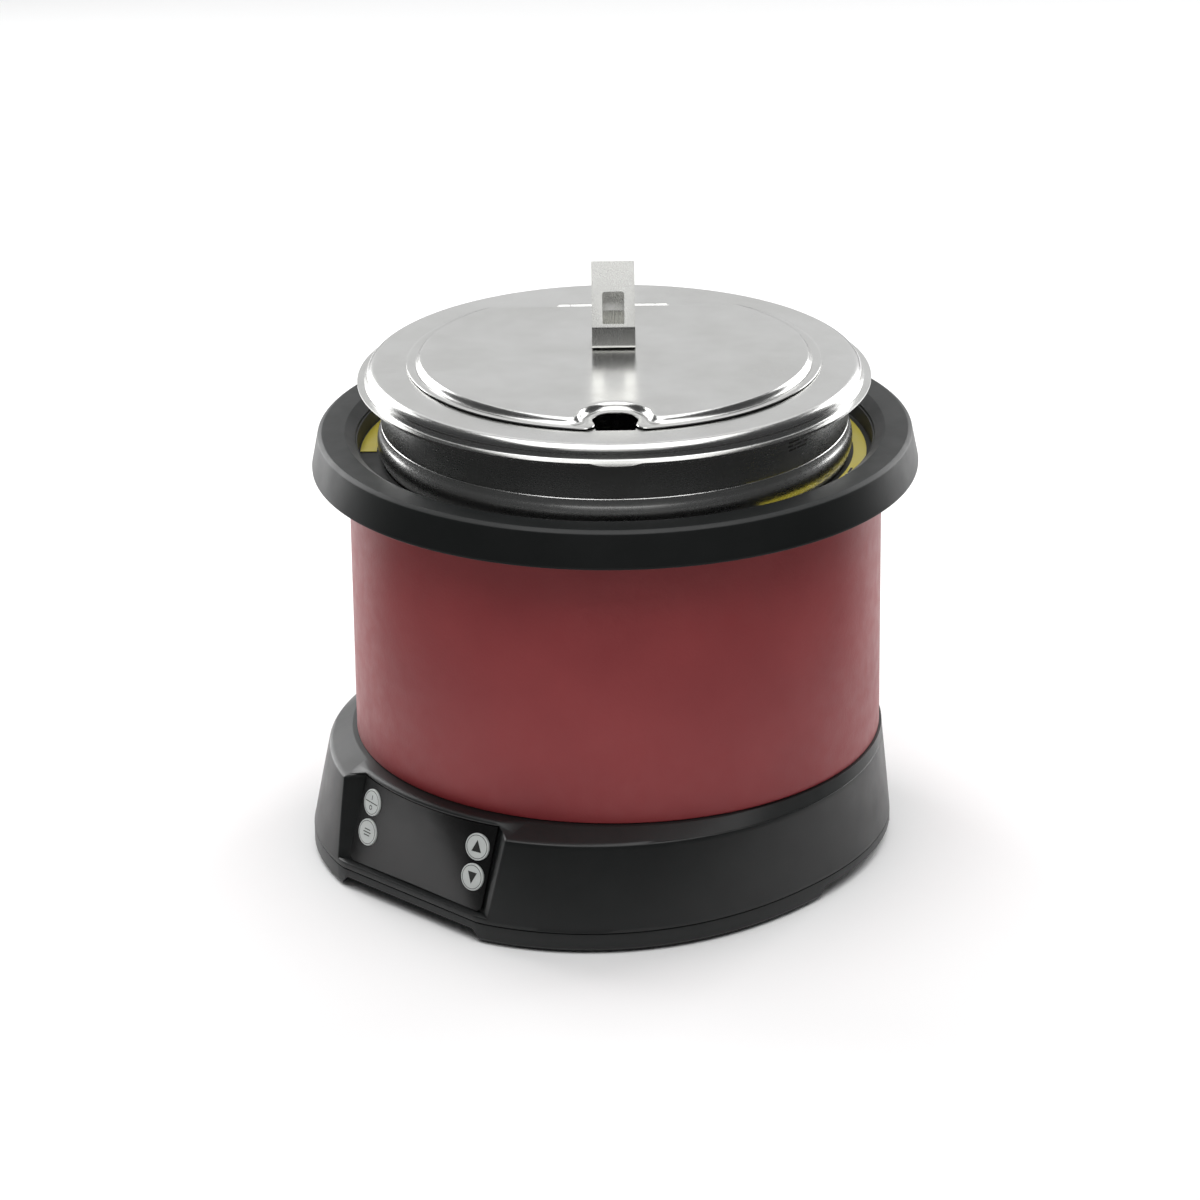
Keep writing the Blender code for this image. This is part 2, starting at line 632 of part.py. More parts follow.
# ---------------------------------------------------------------- pot and lid

def make_pot():
    outer = [(0, POT_BOTTOM), (POT_R - 6, POT_BOTTOM)]
    outer += arc((POT_R - 6, POT_BOTTOM + 6), 6, -45, 0, 1)
    outer += [(POT_R, 229), (132.9, 232.8), (134.4, 236), (BULGE_R, 241.5), (134.5, 247), (NECK_R, NECK_FOOT),
              (NECK_R, POT_LIP - 3.5), (NECK_R + 2.5, POT_LIP - SHEET), (POT_LIP_R, POT_LIP - SHEET)]
    profile = sheet_outline([(r, z) for r, z in reversed(outer)], SHEET)
    turned("pot", profile, "steel")


def make_lid_ring(lid):
    line = [(BRIM_R, BRIM_Z + SHEET), (142.2, BRIM_Z + SHEET), (140.6, BRIM_Z + 2.0)]
    line += arc((LID_WALL_R - SHOULDER_BEND_R, DECK_Z - SHOULDER_BEND_R), SHOULDER_BEND_R, 0, 90, 4)
    line += [(0, DECK_Z)]
    ring = turned("lid_ring", sheet_outline(line[::-1], SHEET), "steel", parent=lid)
    opening = arc((0, 0), DECK_OPENING_R, 180 - 44.6, 360 + 44.6, 36)
    cut(ring, prism_mesh("lid_opening", opening, DECK_Z - 10, DECK_Z + 10), parent=lid)
    relief = [(-11, -100), (-11, -116), (11, -116), (11, -100)]
    cut(ring, prism_mesh("notch_relief", relief, DECK_Z - 4, DECK_Z + 4), parent=lid)
    corners = arc((8.5, -145.8), 3.5, 0, -90, 4) + arc((-8.5, -145.8), 3.5, -90, -180, 4)
    tab = [(12, -143.2)] + corners + [(-12, -143.2)]
    unite(ring, prism_mesh("lift_tab", tab, BRIM_Z, BRIM_Z + SHEET), parent=lid)
    return ring


def knuckle_mesh(name, low, high):
    mesh = turned_mesh(name, [(BORE_R, low), (KNUCKLE_R, low), (KNUCKLE_R, high), (BORE_R, high)], 12)
    mesh.transform(Matrix.Rotation(math.radians(90), 4, "Y"))
    return mesh


def make_hinge(lid):
    half, inner = HINGE_LENGTH / 2, DOOR_KNUCKLE_LENGTH / 2 + 0.3
    leaf_z = DECK_Z + 0.3
    leaf = block("hinge_leaf", (HINGE_LENGTH, 11, 0.9), "steel", (0, HINGE_BACK + 8.0, leaf_z + 0.45), parent=lid)
    for side in (-1, 1):
        centre = side * (half + inner) / 2
        ear = boxes_mesh("ear", [((centre, HINGE_BACK + 2.4, leaf_z + 0.35), (half - inner, 3.0, 0.7))])
        unite(leaf, ear, parent=lid)
        ends = sorted((side * inner, side * half))
        unite(leaf, knuckle_mesh("knuckle", *ends), parent=lid, location=(0, HINGE_BACK, HINGE_Z))
    pin = rod_mesh("hinge_pin", PIN_R, -half - 0.8, half + 0.8, 16)
    pin.transform(Matrix.Rotation(math.radians(90), 4, "Y"))
    add_object("hinge_pin", pin, "steel", parent=lid, location=(0, HINGE_BACK, HINGE_Z))


def make_door(axis):
    """The door's meshes are built about the hinge axis, which is its parent's origin."""
    line = [(0, PLATEAU_Z), (PLATEAU_R - 1.2, PLATEAU_Z), (PLATEAU_R, PLATEAU_Z - 0.4)]
    line += [(PLATEAU_R + 1.4, DECK_Z + 1.7), (PLATEAU_R + 2.4, DECK_Z + 1.3), (DOOR_R, DECK_Z + 1.3)]
    back = {"parent": axis, "location": (0, -HINGE_BACK, -HINGE_Z)}
    door = turned("lid_door", sheet_outline(line, SHEET), "steel", **back)
    cut(door, boxes_mesh("door_chord", [((0, DOOR_CHORD + 30, DECK_Z), (260, 60, 30))]), **back)
    edge, half = -(DOOR_R - NOTCH_DEPTH) - NOTCH_WIDTH / 2, NOTCH_WIDTH / 2
    notch = arc((0, edge), half, 0, 180, 14) + [(-half, -130), (half, -130)]
    cut(door, prism_mesh("ladle_notch", notch, DECK_Z - 10, DECK_Z + 10), **back)
    unite(door, knuckle_mesh("knuckle", -DOOR_KNUCKLE_LENGTH / 2, DOOR_KNUCKLE_LENGTH / 2), parent=axis)
    room = DOOR_KNUCKLE_LENGTH / 2 + 5
    cut(door, boxes_mesh("ear_room", [((side * room, 86.2, HINGE_Z), (10, 6, 10)) for side in (-1, 1)]), **back)
    return door


def make_handle(axis):
    """One bent strap: rear leg, foot on the plateau, front riser and the leaning grip with its slot."""
    low = PLATEAU_Z + 0.3
    back = {"parent": axis, "location": (0, -HINGE_BACK, -HINGE_Z)}
    foot = low + STRAP_THICK
    line = [(REAR_LEG_BACK + REAR_LEG_LEAN, REAR_LEG_TOP_Z), (REAR_LEG_BACK, HANDLE_BEND_Z),
            (REAR_LEG_BACK, foot + 1.2), (REAR_LEG_BACK - 1.2, foot),
            (HANDLE_BACK + 1.2, foot), (HANDLE_BACK, foot + 1.2), (HANDLE_BACK, HANDLE_BEND_Z - 1.5),
            (HANDLE_BACK + 0.4, HANDLE_BEND_Z), (HANDLE_BACK + HANDLE_LEAN, HANDLE_TOP_Z)]
    outline = sheet_outline(line, -STRAP_THICK)
    strap = prism("lid_handle", outline, -STRAP_WIDTH / 2, STRAP_WIDTH / 2, "steel", plane="YZ", **back)
    half, corner = SLOT_WIDTH / 2, SLOT_CORNER
    slot = [(-half, 0.0), (half, 0.0)]
    slot += arc((half - corner, SLOT_LENGTH - corner), corner, 0, 90, 3)
    slot += arc((corner - half, SLOT_LENGTH - corner), corner, 90, 180, 3)
    lean = math.degrees(math.atan2(HANDLE_LEAN, HANDLE_TOP_Z - HANDLE_BEND_Z))
    cutter = prism_mesh("handle_slot", slot, -12, 12, plane="XZ")
    cutter.transform(Matrix.Rotation(math.radians(-lean), 4, "X"))
    cut(strap, cutter, parent=axis,
        location=(0, HANDLE_BACK + 0.6 - HINGE_BACK, HANDLE_BEND_Z + SLOT_RISE - HINGE_Z))


def main():
    clear_scene()
    make_base_housing()
    make_bottom_pan()
    make_feet_and_screws()
    make_cord_gland()
    make_panel_overlay()
    make_buttons()
    make_control_board()
    make_outer_shell()
    make_rim_ring()
    make_well()
    make_caution_labels()
    make_insulation()
    make_coil()
    make_sensor()
    make_electronics()
    make_fan()
    make_pot()
    lid = add_empty("lid_frame", rotation=(0, 0, LID_TURN))
    axis = add_empty("door_axis", parent=lid, location=(0, HINGE_BACK, HINGE_Z))
    make_lid_ring(lid)
    make_hinge(lid)
    make_door(axis)
    make_handle(axis)


main()
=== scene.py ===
"""Looks of the induction soup kettle: finished shapes and materials round its CAD frame.

Outlines are in millimetres, (radius, height) for turned pieces, and MM turns them into metres.
The control panel faces -Y. The lid's pieces are drawn with their ladle notch towards -Y and are
then turned with the lid.
"""
import json
import math

import bmesh
import bpy
from mathutils import Matrix, Vector


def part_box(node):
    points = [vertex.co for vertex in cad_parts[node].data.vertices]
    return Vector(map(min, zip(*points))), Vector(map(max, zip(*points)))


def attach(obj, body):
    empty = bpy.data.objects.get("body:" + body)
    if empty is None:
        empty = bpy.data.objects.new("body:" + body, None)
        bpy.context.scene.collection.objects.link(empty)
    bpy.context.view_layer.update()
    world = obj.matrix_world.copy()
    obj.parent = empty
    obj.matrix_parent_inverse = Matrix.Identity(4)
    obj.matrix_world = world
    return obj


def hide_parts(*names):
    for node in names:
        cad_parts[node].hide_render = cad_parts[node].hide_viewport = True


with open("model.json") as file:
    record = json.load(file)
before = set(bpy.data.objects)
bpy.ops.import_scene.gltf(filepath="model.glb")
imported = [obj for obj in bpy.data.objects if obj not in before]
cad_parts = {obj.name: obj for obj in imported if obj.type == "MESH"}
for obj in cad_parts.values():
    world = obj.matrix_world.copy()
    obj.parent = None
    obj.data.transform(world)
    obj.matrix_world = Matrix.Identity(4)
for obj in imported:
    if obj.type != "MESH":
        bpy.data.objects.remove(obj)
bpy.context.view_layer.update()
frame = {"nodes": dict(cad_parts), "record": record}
scene = bpy.context.scene

MM = 0.001
TURN_STEPS = 192  # sides of a large turned piece


# ---------------------------------------------------------------- sizes from the frame

def corners(node):
    """A node's lowest and highest corners, in millimetres."""
    return [Vector(corner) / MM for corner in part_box(node)]


def joint(name):
    return next(j for j in frame["record"]["behaviour"]["joints"] if j["name"] == name)


PAN_LOW, PAN_HIGH = corners("bottom_pan")
SHELL_LOW, SHELL_HIGH = corners("outer_shell")
RING_LOW, RING_HIGH = corners("rim_ring")
WELL_LOW, WELL_HIGH = corners("inner_well")
POT_LOW, POT_HIGH = corners("pot")
LID_LOW = corners("lid_ring")[0]
DOOR_HIGH = corners("lid_door")[1]
LABEL_LOW, LABEL_HIGH = corners("caution_label_left")
SWING = joint("door_swing")

SEAM_Z = PAN_HIGH.z
LEDGE_Z = SHELL_LOW.z - 0.3
SHELL_R = SHELL_HIGH.x
RING_R, RING_TOP = RING_HIGH.x, RING_HIGH.z
WELL_WALL = 2.0
WELL_LEDGE_R = WELL_HIGH.x - 2.5
WELL_R = WELL_LEDGE_R - 13.6
SEAT_Z = LABEL_LOW.z - 0.3
SHEET = 1.0
BRIM_Z = LID_LOW.z
DECK_Z = BRIM_Z + 9.4
PLATEAU_Z = DOOR_HIGH.z

# Outlines of the skirt: half-width, half-length, shift towards the panel, and the power that
# squares them off (2 is an ellipse)
SEAM_SHAPE = (160.0, 165.5, 14.0, 2.2)
SHOULDER_SHAPE = (158.0, 163.0, 10.0, 2.0)
LEDGE_SHAPE = (153.4, 153.6, 0.6, 2.0)
SHOULDER_Z = 61.0
SKIN = 3.0
BAY_HALF = 54.4
CHEEK_FOOT, CHEEK_SPREAD = 5.2, 4.8  # the cheeks open outwards, by more at the shoulder
PANEL_TOP_Z, PANEL_FOOT_Z = 66.6, 16.7
PANEL_ARC_R, PANEL_CHORD_Y = 160.8, 168.2
RECESS = 1.9
BAR_Y, BAR_TOP = 172.2, 16.0
FOOT_ANGLES = (-30, 90, 210)
ARCH_ANGLES = (-90, 24, 156)
BOSS_CIRCLE, BOSS_SHIFT = 154.8, 9.7
GLAND_ANGLE, GLAND_Z = 70, 34
BUTTON_R = 7.7
BUTTONS = {
    "button_power": (-41.0, 52.2),
    "button_function": (-41.0, 35.3),
    "button_up": (42.9, 50.8),
    "button_down": (42.9, 33.9),
}

# Lid, in its own turn
LID_TURN = math.atan2(-SWING["axis"][1], -SWING["axis"][0])
HINGE_Y = math.hypot(SWING["pos_m"][0], SWING["pos_m"][1]) / MM
HINGE_Z = SWING["pos_m"][2] / MM
HINGE_HALF, DOOR_KNUCKLE_HALF = 31.5, 24.4
KNUCKLE_R, BORE_R, PIN_R = 2.2, 1.3, 1.0
BRIM_R, LID_WALL_R = 145.3, 140.0
DOOR_R, DOOR_CHORD, OPENING_R = 117.5, 85.8, 114.0
NOTCH_Y, NOTCH_R, NOTCH_CORNER = -103.0, 12.5, 6.5
STRAP_HALF, STRAP_THICK, HANDLE_Y, HANDLE_LEAN = 12.25, 1.5, 5.0, 18.5
REAR_LEG_Y, REAR_LEG_LEAN, REAR_LEG_TOP = 35.0, 7.0, 317.0
HANDLE_TOP = 336.3  # free edge of the grip's centre line
BEND_Z = 303.0
SLOT_HALF, SLOT_LENGTH = 6.2, 18.5


# ---------------------------------------------------------------- materials

def linear(hex_colour):
    """An sRGB hex colour as the linear colour that a shader takes."""
    channels = [int(hex_colour[i:i + 2], 16) / 255 for i in (1, 3, 5)]
    return [c / 12.92 if c <= 0.04045 else ((c + 0.055) / 1.055) ** 2.4 for c in channels] + [1.0]


def add(tree, kind, inputs=None, **settings):
    """Adds a shader node; an input is given a value or another node's output."""
    node = tree.nodes.new("ShaderNode" + kind)
    for key, value in settings.items():
        setattr(node, key, value)
    for key, value in (inputs or {}).items():
        if isinstance(value, bpy.types.NodeSocket):
            tree.links.new(value, node.inputs[key])
        else:
            node.inputs[key].default_value = value
    return node


def start(name, **sockets):
    """A new material with its even values set; gives the material, tree, shader and coordinates."""
    material = bpy.data.materials.new(name)
    material.use_nodes = True
    tree = material.node_tree
    shader = tree.nodes["Principled BSDF"]
    for key, value in sockets.items():
        shader.inputs[key.replace("_", " ")].default_value = value
    place = add(tree, "TexCoord").outputs["Object"]
    return material, tree, shader, place


def noise(tree, place, size, detail=3, stretch=(1, 1, 1), roughness=0.5):
    """Noise whose features are about size millimetres across."""
    scaled = add(tree, "Mapping", {"Vector": place, "Scale": [s / (size * MM) for s in stretch]})
    settings = {"Vector": scaled.outputs[0], "Scale": 1, "Detail": detail, "Roughness": roughness}
    return add(tree, "TexNoise", settings).outputs[0]


def ramp(tree, value, low, high):
    """Spreads a noise's middle range over low to high."""
    settings = {"Value": value, "From Min": 0.3, "From Max": 0.7, "To Min": low, "To Max": high}
    return add(tree, "MapRange", settings).outputs[0]


def tint(tree, shader, factor, first, second):
    """Runs the base colour between two hex colours."""
    mix = add(tree, "Mix", {"Factor": factor}, data_type="RGBA")
    for socket, colour in zip([s for s in mix.inputs if s.type == "RGBA"], (first, second)):
        socket.default_value = linear(colour)
    colour_out = next(s for s in mix.outputs if s.type == "RGBA")
    tree.links.new(colour_out, shader.inputs["Base Color"])


def relief(tree, shader, *layers):
    """Stacks bumps; each layer is (height, millimetres of depth, strength)."""
    normal = None
    for height, depth, strength in layers:
        inputs = {"Height": height, "Distance": depth * MM, "Strength": strength}
        if normal:
            inputs["Normal"] = normal
        normal = add(tree, "Bump", inputs).outputs[0]
    tree.links.new(normal, shader.inputs["Normal"])


def moulded_plastic(name, dark, light, gloss, grain=0.7, depth=0.03, ior=1.5):
    """Injection-moulded plastic: an even satin skin with a fine spark-eroded grain and faint marks."""
    material, tree, shader, place = start(name, IOR=ior)
    marks = noise(tree, place, 45, 4)
    tint(tree, shader, ramp(tree, marks, 0, 1), dark, light)
    tree.links.new(ramp(tree, noise(tree, place, 18, 5), *gloss), shader.inputs["Roughness"])
    relief(tree, shader, (noise(tree, place, grain, 2), depth, 0.5), (marks, 0.12, 0.15))
    return material


def leather_grain_coat(name):
    """Red powder coat on sheet steel: a leather-like wrinkle of small cells that breaks up its soft sheen."""
    material, tree, shader, place = start(name, IOR=1.5)
    warp = noise(tree, place, 6, 3)
    cells = add(tree, "Mapping", {"Vector": place, "Scale": [1 / (1.5 * MM)] * 3})
    bent = add(tree, "VectorMath", {0: cells.outputs[0], 1: warp}, operation="ADD")
    cell = add(tree, "TexVoronoi", {"Vector": bent.outputs[0], "Scale": 1}, feature="SMOOTH_F1")
    wrinkle = cell.outputs[0]
    cloud = noise(tree, place, 60, 3)
    tint(tree, shader, ramp(tree, cloud, 0, 1), "#8d2c30", "#963336")
    tree.links.new(ramp(tree, noise(tree, place, 9, 4), 0.40, 0.50), shader.inputs["Roughness"])
    relief(tree, shader, (wrinkle, 0.10, 0.45), (noise(tree, place, 3.2, 3), 0.10, 0.35))
    return material


def turned_steel(name, gloss, line=0.45, light="#cccccb", dark="#c0c0be", streak=0.012, wave=0.0):
    """Spun and polished stainless steel: fine lines round the axis draw out its reflections."""
    material, tree, shader, place = start(name, Metallic=1.0)
    parts = add(tree, "SeparateXYZ", {0: place})
    flat = add(tree, "CombineXYZ", {0: parts.outputs[0], 1: parts.outputs[1]})
    radius = add(tree, "VectorMath", {0: flat.outputs[0]}, operation="LENGTH").outputs["Value"]
    angle = add(tree, "Math", {0: parts.outputs[1], 1: parts.outputs[0]}, operation="ARCTAN2").outputs[0]
    wide = add(tree, "Math", {0: angle, 1: 0.02}, operation="MULTIPLY").outputs[0]
    lathe = add(tree, "CombineXYZ", {0: radius, 1: wide, 2: parts.outputs[2]}).outputs[0]
    lines = noise(tree, lathe, line, 3)
    cloud = noise(tree, place, 35, 4)
    tint(tree, shader, ramp(tree, cloud, 0, 1), light, dark)
    rough = add(tree, "Math", {0: ramp(tree, lines, 0, 0.05), 1: ramp(tree, cloud, *gloss)}, operation="ADD")
    tree.links.new(rough.outputs[0], shader.inputs["Roughness"])
    run = add(tree, "Math", {0: angle, 1: 0.13}, operation="MULTIPLY").outputs[0]
    ripples = noise(tree, add(tree, "CombineXYZ", {0: run}).outputs[0], 7, 4)
    relief(tree, shader, (lines, streak, 0.4), (cloud, 0.15, 0.12), (ripples, wave, 0.5))
    return material


def brushed_strap(name, gloss):
    """Stainless strip with a rolled mill grain that runs along the handle."""
    material, tree, shader, place = start(name, Metallic=1.0)
    grain = noise(tree, place, 0.5, 4, stretch=(1, 1, 0.03))
    cloud = noise(tree, place, 12, 3)
    tint(tree, shader, ramp(tree, cloud, 0, 1), "#d2d2cf", "#c6c6c3")
    rough = add(tree, "Math", {0: ramp(tree, grain, 0, 0.08), 1: ramp(tree, cloud, *gloss)}, operation="ADD")
    tree.links.new(rough.outputs[0], shader.inputs["Roughness"])
    relief(tree, shader, (grain, 0.01, 0.35))
    return material


def even_finish(name, first, second, patch, gloss, grain, depth, **sockets):
    """A plain finish whose colour drifts over patch millimetres and whose relief has grain-sized bumps."""
    material, tree, shader, place = start(name, **sockets)
    drift = noise(tree, place, patch, 4)
    tint(tree, shader, ramp(tree, drift, 0, 1), first, second)
    tree.links.new(ramp(tree, noise(tree, place, patch / 2, 4), *gloss), shader.inputs["Roughness"])
    relief(tree, shader, (noise(tree, place, grain, 3), depth, 0.5))
    return material


def mineral_wool(name):
    """Pressed mineral wool: matted fibres, dull and mottled."""
    material, tree, shader, place = start(name, Roughness=0.95)
    fibres = noise(tree, place, 1.2, 6, stretch=(1, 1, 0.25), roughness=0.7)
    tint(tree, shader, ramp(tree, fibres, 0, 1), "#a89f84", "#d0c8ae")
    relief(tree, shader, (fibres, 1.0, 0.8))
    return material


def litz_copper(name):
    """Wound copper litz: enamelled strands twisted into a ribbon, so the gleam is broken into fine lines."""
    material, tree, shader, place = start(name, Metallic=1.0, Roughness=0.38)
    strand = [1 / (1.6 * MM)] * 3
    strands = add(tree, "Mapping", {"Vector": place, "Scale": strand, "Rotation": (0, 0, 0.6)}).outputs[0]
    wave = add(tree, "TexWave", {"Vector": strands, "Scale": 1, "Distortion": 2.5, "Detail": 2}).outputs[1]
    # Painted shade: the tint follows the strand relief and runs darker in the grooves between the strands.
    tint(tree, shader, wave, "#8e4a24", "#d08a5a")
    relief(tree, shader, (wave, 0.3, 0.6))
    return material


def circuit_board(name):
    """Glass-epoxy board under green solder mask, with paler copper tracks showing through."""
    material, tree, shader, place = start(name, IOR=1.55, Roughness=0.42)
    grid = add(tree, "Mapping", {"Vector": place, "Scale": [1 / (7 * MM)] * 3})
    shades = {"Color1": (0, 0, 0, 1), "Color2": (0.25, 0.25, 0.25, 1), "Mortar": (1, 1, 1, 1)}
    tracks = add(tree, "TexBrick", {"Vector": grid.outputs[0], "Scale": 1, "Mortar Size": 0.06, **shades})
    tint(tree, shader, tracks.outputs[0], "#12522c", "#2f8a52")
    relief(tree, shader, (tracks.outputs[1], 0.05, 0.4))
    return material


ABS = moulded_plastic("abs_moulded_satin", "#101212", "#151717", (0.34, 0.42), ior=1.45)
RING_PLASTIC = moulded_plastic("abs_moulded_matt", "#131515", "#181a1a", (0.42, 0.50), 0.9, 0.04, 1.4)
WELL_PLASTIC = moulded_plastic("glass_filled_nylon_moulded", "#161717", "#1e1f1f", (0.5, 0.6), 1.1, 0.05)
RED_COAT = leather_grain_coat("powder_coat_leather_grain")
POT_STEEL = turned_steel("stainless_spun_polished", (0.22, 0.29), streak=0.02, wave=0.35)
LID_STEEL = turned_steel("stainless_pressed_bright", (0.17, 0.23), streak=0.006)
STRAP_STEEL = brushed_strap("stainless_strip_mill_grain", (0.18, 0.24))
# Vinyl sticker: flat ink under a thin clear film, a little cloudy where it was smoothed down
VINYL = even_finish("vinyl_sticker_printed", "#d9c83c", "#e0d04a", 14, (0.28, 0.42), 2.5, 0.04, IOR=1.5)
INK = even_finish("printing_ink_dull", "#1a1b19", "#242523", 4, (0.5, 0.65), 0.6, 0.01)
ETCH = even_finish("stainless_laser_etched", "#50504e", "#62625f", 2, (0.45, 0.6), 0.5, 0.01, Metallic=1.0)
# Polyester film: a smooth black front over a slightly wavy moulding
FILM = even_finish("polyester_film_gloss", "#0b0b0b", "#0f0f0f", 40, (0.16, 0.24), 22, 0.10, IOR=1.57)
KEY = even_finish("silicone_key_moulded", "#c2c6c4", "#cacecb", 6, (0.42, 0.52), 0.5, 0.02, IOR=1.43)
RUBBER = moulded_plastic("nitrile_rubber_moulded", "#151515", "#232323", (0.75, 0.9), 1.4, 0.08)
ZINC = even_finish("zinc_plated_steel", "#b9b7ae", "#a6a79f", 3, (0.26, 0.42), 0.6, 0.02, Metallic=1.0)
FERRITE = even_finish("ferrite_sintered", "#2c2d30", "#3a3b3e", 5, (0.6, 0.8), 0.7, 0.10)
TRAY = moulded_plastic("nylon_tray_moulded", "#3e3a35", "#4b463f", (0.5, 0.65), 1.0, 0.05)
ALUMINIUM = even_finish("aluminium_extruded", "#c4c6c9", "#b4b6ba", 8, (0.28, 0.42), 0.5, 0.02, Metallic=1.0)
SLEEVE = even_finish("capacitor_sleeve_shrunk", "#1f3a86", "#27479a", 7, (0.3, 0.45), 3, 0.06, IOR=1.5)
SMOKED = even_finish("acrylic_smoked", "#1d0f0f", "#261414", 12, (0.10, 0.18), 4, 0.01, IOR=1.49)
WOOL = mineral_wool("mineral_wool_pressed")
COPPER = litz_copper("copper_litz_wound")
BOARD = circuit_board("glass_epoxy_board")


# ---------------------------------------------------------------- mesh tools

def arc(centre, radius, first, last, steps):
    """Points on an arc, angles in radians."""
    angles = [first + (last - first) * i / steps for i in range(steps + 1)]
    return [(centre[0] + radius * math.cos(a), centre[1] + radius * math.sin(a)) for a in angles]


def rounded(outline, closed=True, steps=4):
    """Softens an outline of (a, b, radius) corners."""
    points = []
    count = len(outline)
    for i, (a, b, radius) in enumerate(outline):
        here = Vector((a, b))
        if not radius or (not closed and i in (0, count - 1)):
            points.append(tuple(here))
            continue
        back = Vector(outline[i - 1][:2]) - here
        on = Vector(outline[(i + 1) % count][:2]) - here
        reach = min(radius / math.tan(back.angle(on) / 2), 0.49 * back.length, 0.49 * on.length)
        first, last = here + back.normalized() * reach, here + on.normalized() * reach
        for k in range(steps + 1):
            t = k / steps
            points.append(tuple(first * (1 - t) ** 2 + here * 2 * t * (1 - t) + last * t * t))
    return points


def thick(line, thickness):
    """Closes an open line into a band by stepping its points to the right of the line."""
    points = [Vector(p) for p in line]
    back = []
    for i, point in enumerate(points):
        before = (point - points[i - 1]).normalized() if i else (points[1] - point).normalized()
        after = (points[i + 1] - point).normalized() if i + 1 < len(points) else before
        side = Vector((before.y + after.y, -before.x - after.x)).normalized()
        moved = point + side * thickness / max(side.dot(Vector((before.y, -before.x))), 0.5)
        if point.x == 0:
            moved.x = 0
        back.append(tuple(moved))
    return [tuple(p) for p in points] + back[::-1]


def finish_mesh(name, bm, sharp=35):
    bmesh.ops.remove_doubles(bm, verts=bm.verts, dist=1e-6)
    bmesh.ops.recalc_face_normals(bm, faces=bm.faces)
    mesh = bpy.data.meshes.new(name)
    bm.to_mesh(mesh)
    bm.free()
    mesh.shade_smooth()
    mesh.set_sharp_from_angle(angle=math.radians(sharp))
    return mesh


def skin(name, rings, ends="open", sharp=35):
    """Joins rings of equal point count; ends are capped, or joined to each other, or left open."""
    bm = bmesh.new()
    loops = [[bm.verts.new(Vector(p) * MM) for p in ring] for ring in rings]
    pairs = list(zip(loops, loops[1:]))
    if ends == "joined":
        pairs.append((loops[-1], loops[0]))
    for lower, upper in pairs:
        for i in range(len(lower)):
            j = (i + 1) % len(lower)
            bm.faces.new((lower[i], lower[j], upper[j], upper[i]))
    if ends == "capped":
        bm.faces.new(loops[0])
        bm.faces.new(loops[-1])
    return finish_mesh(name, bm, sharp)


def turned(name, outline, steps=TURN_STEPS, sharp=35):
    """Turns a closed (radius, height) outline about Z."""
    bm = bmesh.new()
    verts = [bm.verts.new((r * MM, 0, z * MM)) for r, z in outline]
    sides = zip(verts, verts[1:] + verts[:1])
    edges = [bm.edges.new((a, b)) for a, b in sides if a.co.x > 1e-7 or b.co.x > 1e-7]
    bmesh.ops.spin(bm, geom=verts + edges, cent=(0, 0, 0), axis=(0, 0, 1), angle=math.tau,
                   steps=steps, use_merge=True)
    return finish_mesh(name, bm, sharp)


def prism(name, outline, low, high, turn=None):
    """Stands a flat outline up from low to high along Z, then turns it by a matrix."""
    mesh = skin(name, [[(a, b, level) for a, b in outline] for level in (low, high)], "capped")
    if turn:
        mesh.transform(turn)
    return mesh


def box_mesh(name, centre, size):
    x, y = size[0] / 2, size[1] / 2
    corners_2d = [(-x, -y), (x, -y), (x, y), (-x, y)]
    outline = [(centre[0] + a, centre[1] + b) for a, b in corners_2d]
    return prism(name, outline, centre[2] - size[2] / 2, centre[2] + size[2] / 2)


def tube(name, inner, outer, low, high, steps=32):
    """A sleeve along X with softened ends."""
    soft = min(0.3, (outer - inner) / 3)
    outline = rounded([(inner, low, 0), (outer, low, soft), (outer, high, soft), (inner, high, 0)], steps=2)
    mesh = turned(name, outline, steps)
    mesh.transform(Matrix.Rotation(math.pi / 2, 4, "Y"))
    return mesh


def joined(name, *meshes):
    """One mesh from several; each keeps its own material index."""
    bm = bmesh.new()
    for index, mesh in enumerate(meshes):
        start_face = len(bm.faces)
        bm.from_mesh(mesh)
        bm.faces.ensure_lookup_table()
        if mesh.get("finish") is not None:
            for face in bm.faces[start_face:]:
                face.material_index = mesh["finish"]
    made = bpy.data.meshes.new(name)
    bm.to_mesh(made)
    bm.free()
    made.shade_smooth()
    made.set_sharp_from_angle(angle=math.radians(35))
    return made


def carved(mesh, *tools):
    """Cuts closed tool meshes out of a mesh."""
    block = bpy.data.objects.new("block", mesh)
    scene.collection.objects.link(block)
    used = [block]
    for tool in tools:
        cutter = bpy.data.objects.new("cutter", tool)
        scene.collection.objects.link(cutter)
        modifier = block.modifiers.new("cut", "BOOLEAN")
        modifier.object = cutter
        used.append(cutter)
    shape = block.evaluated_get(bpy.context.evaluated_depsgraph_get())
    result = bpy.data.meshes.new_from_object(shape)
    for obj in used:
        bpy.data.objects.remove(obj)
    result.shade_smooth()
    result.set_sharp_from_angle(angle=math.radians(30))
    return result


def piece(name, mesh, finishes, body, slot, *nodes):
    """Links a mesh as a piece of the object, tied to its body, and hides the nodes it stands for; the slot
    argument is not used.
    """
    obj = bpy.data.objects.new(name, mesh)
    scene.collection.objects.link(obj)
    for finish in finishes:
        mesh.materials.append(finish)
    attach(obj, body)
    if nodes:
        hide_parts(*nodes)
    return obj


def soften(obj, width, angle=40, segments=3):
    """Rounds the edges that turn by more than an angle."""
    bevel = obj.modifiers.new("soft_edges", "BEVEL")
    bevel.width = width * MM
    bevel.segments = segments
    bevel.limit_method = "ANGLE"
    bevel.angle_limit = math.radians(angle)
    bevel.harden_normals = True
    return obj


# ---------------------------------------------------------------- skirt and base

def blend(first, second, t):
    return tuple(a + (b - a) * t for a, b in zip(first, second))


def inset_shape(shape, inset):
    half_x, half_y, shift, power = shape
    return half_x - inset, half_y - inset, shift, power


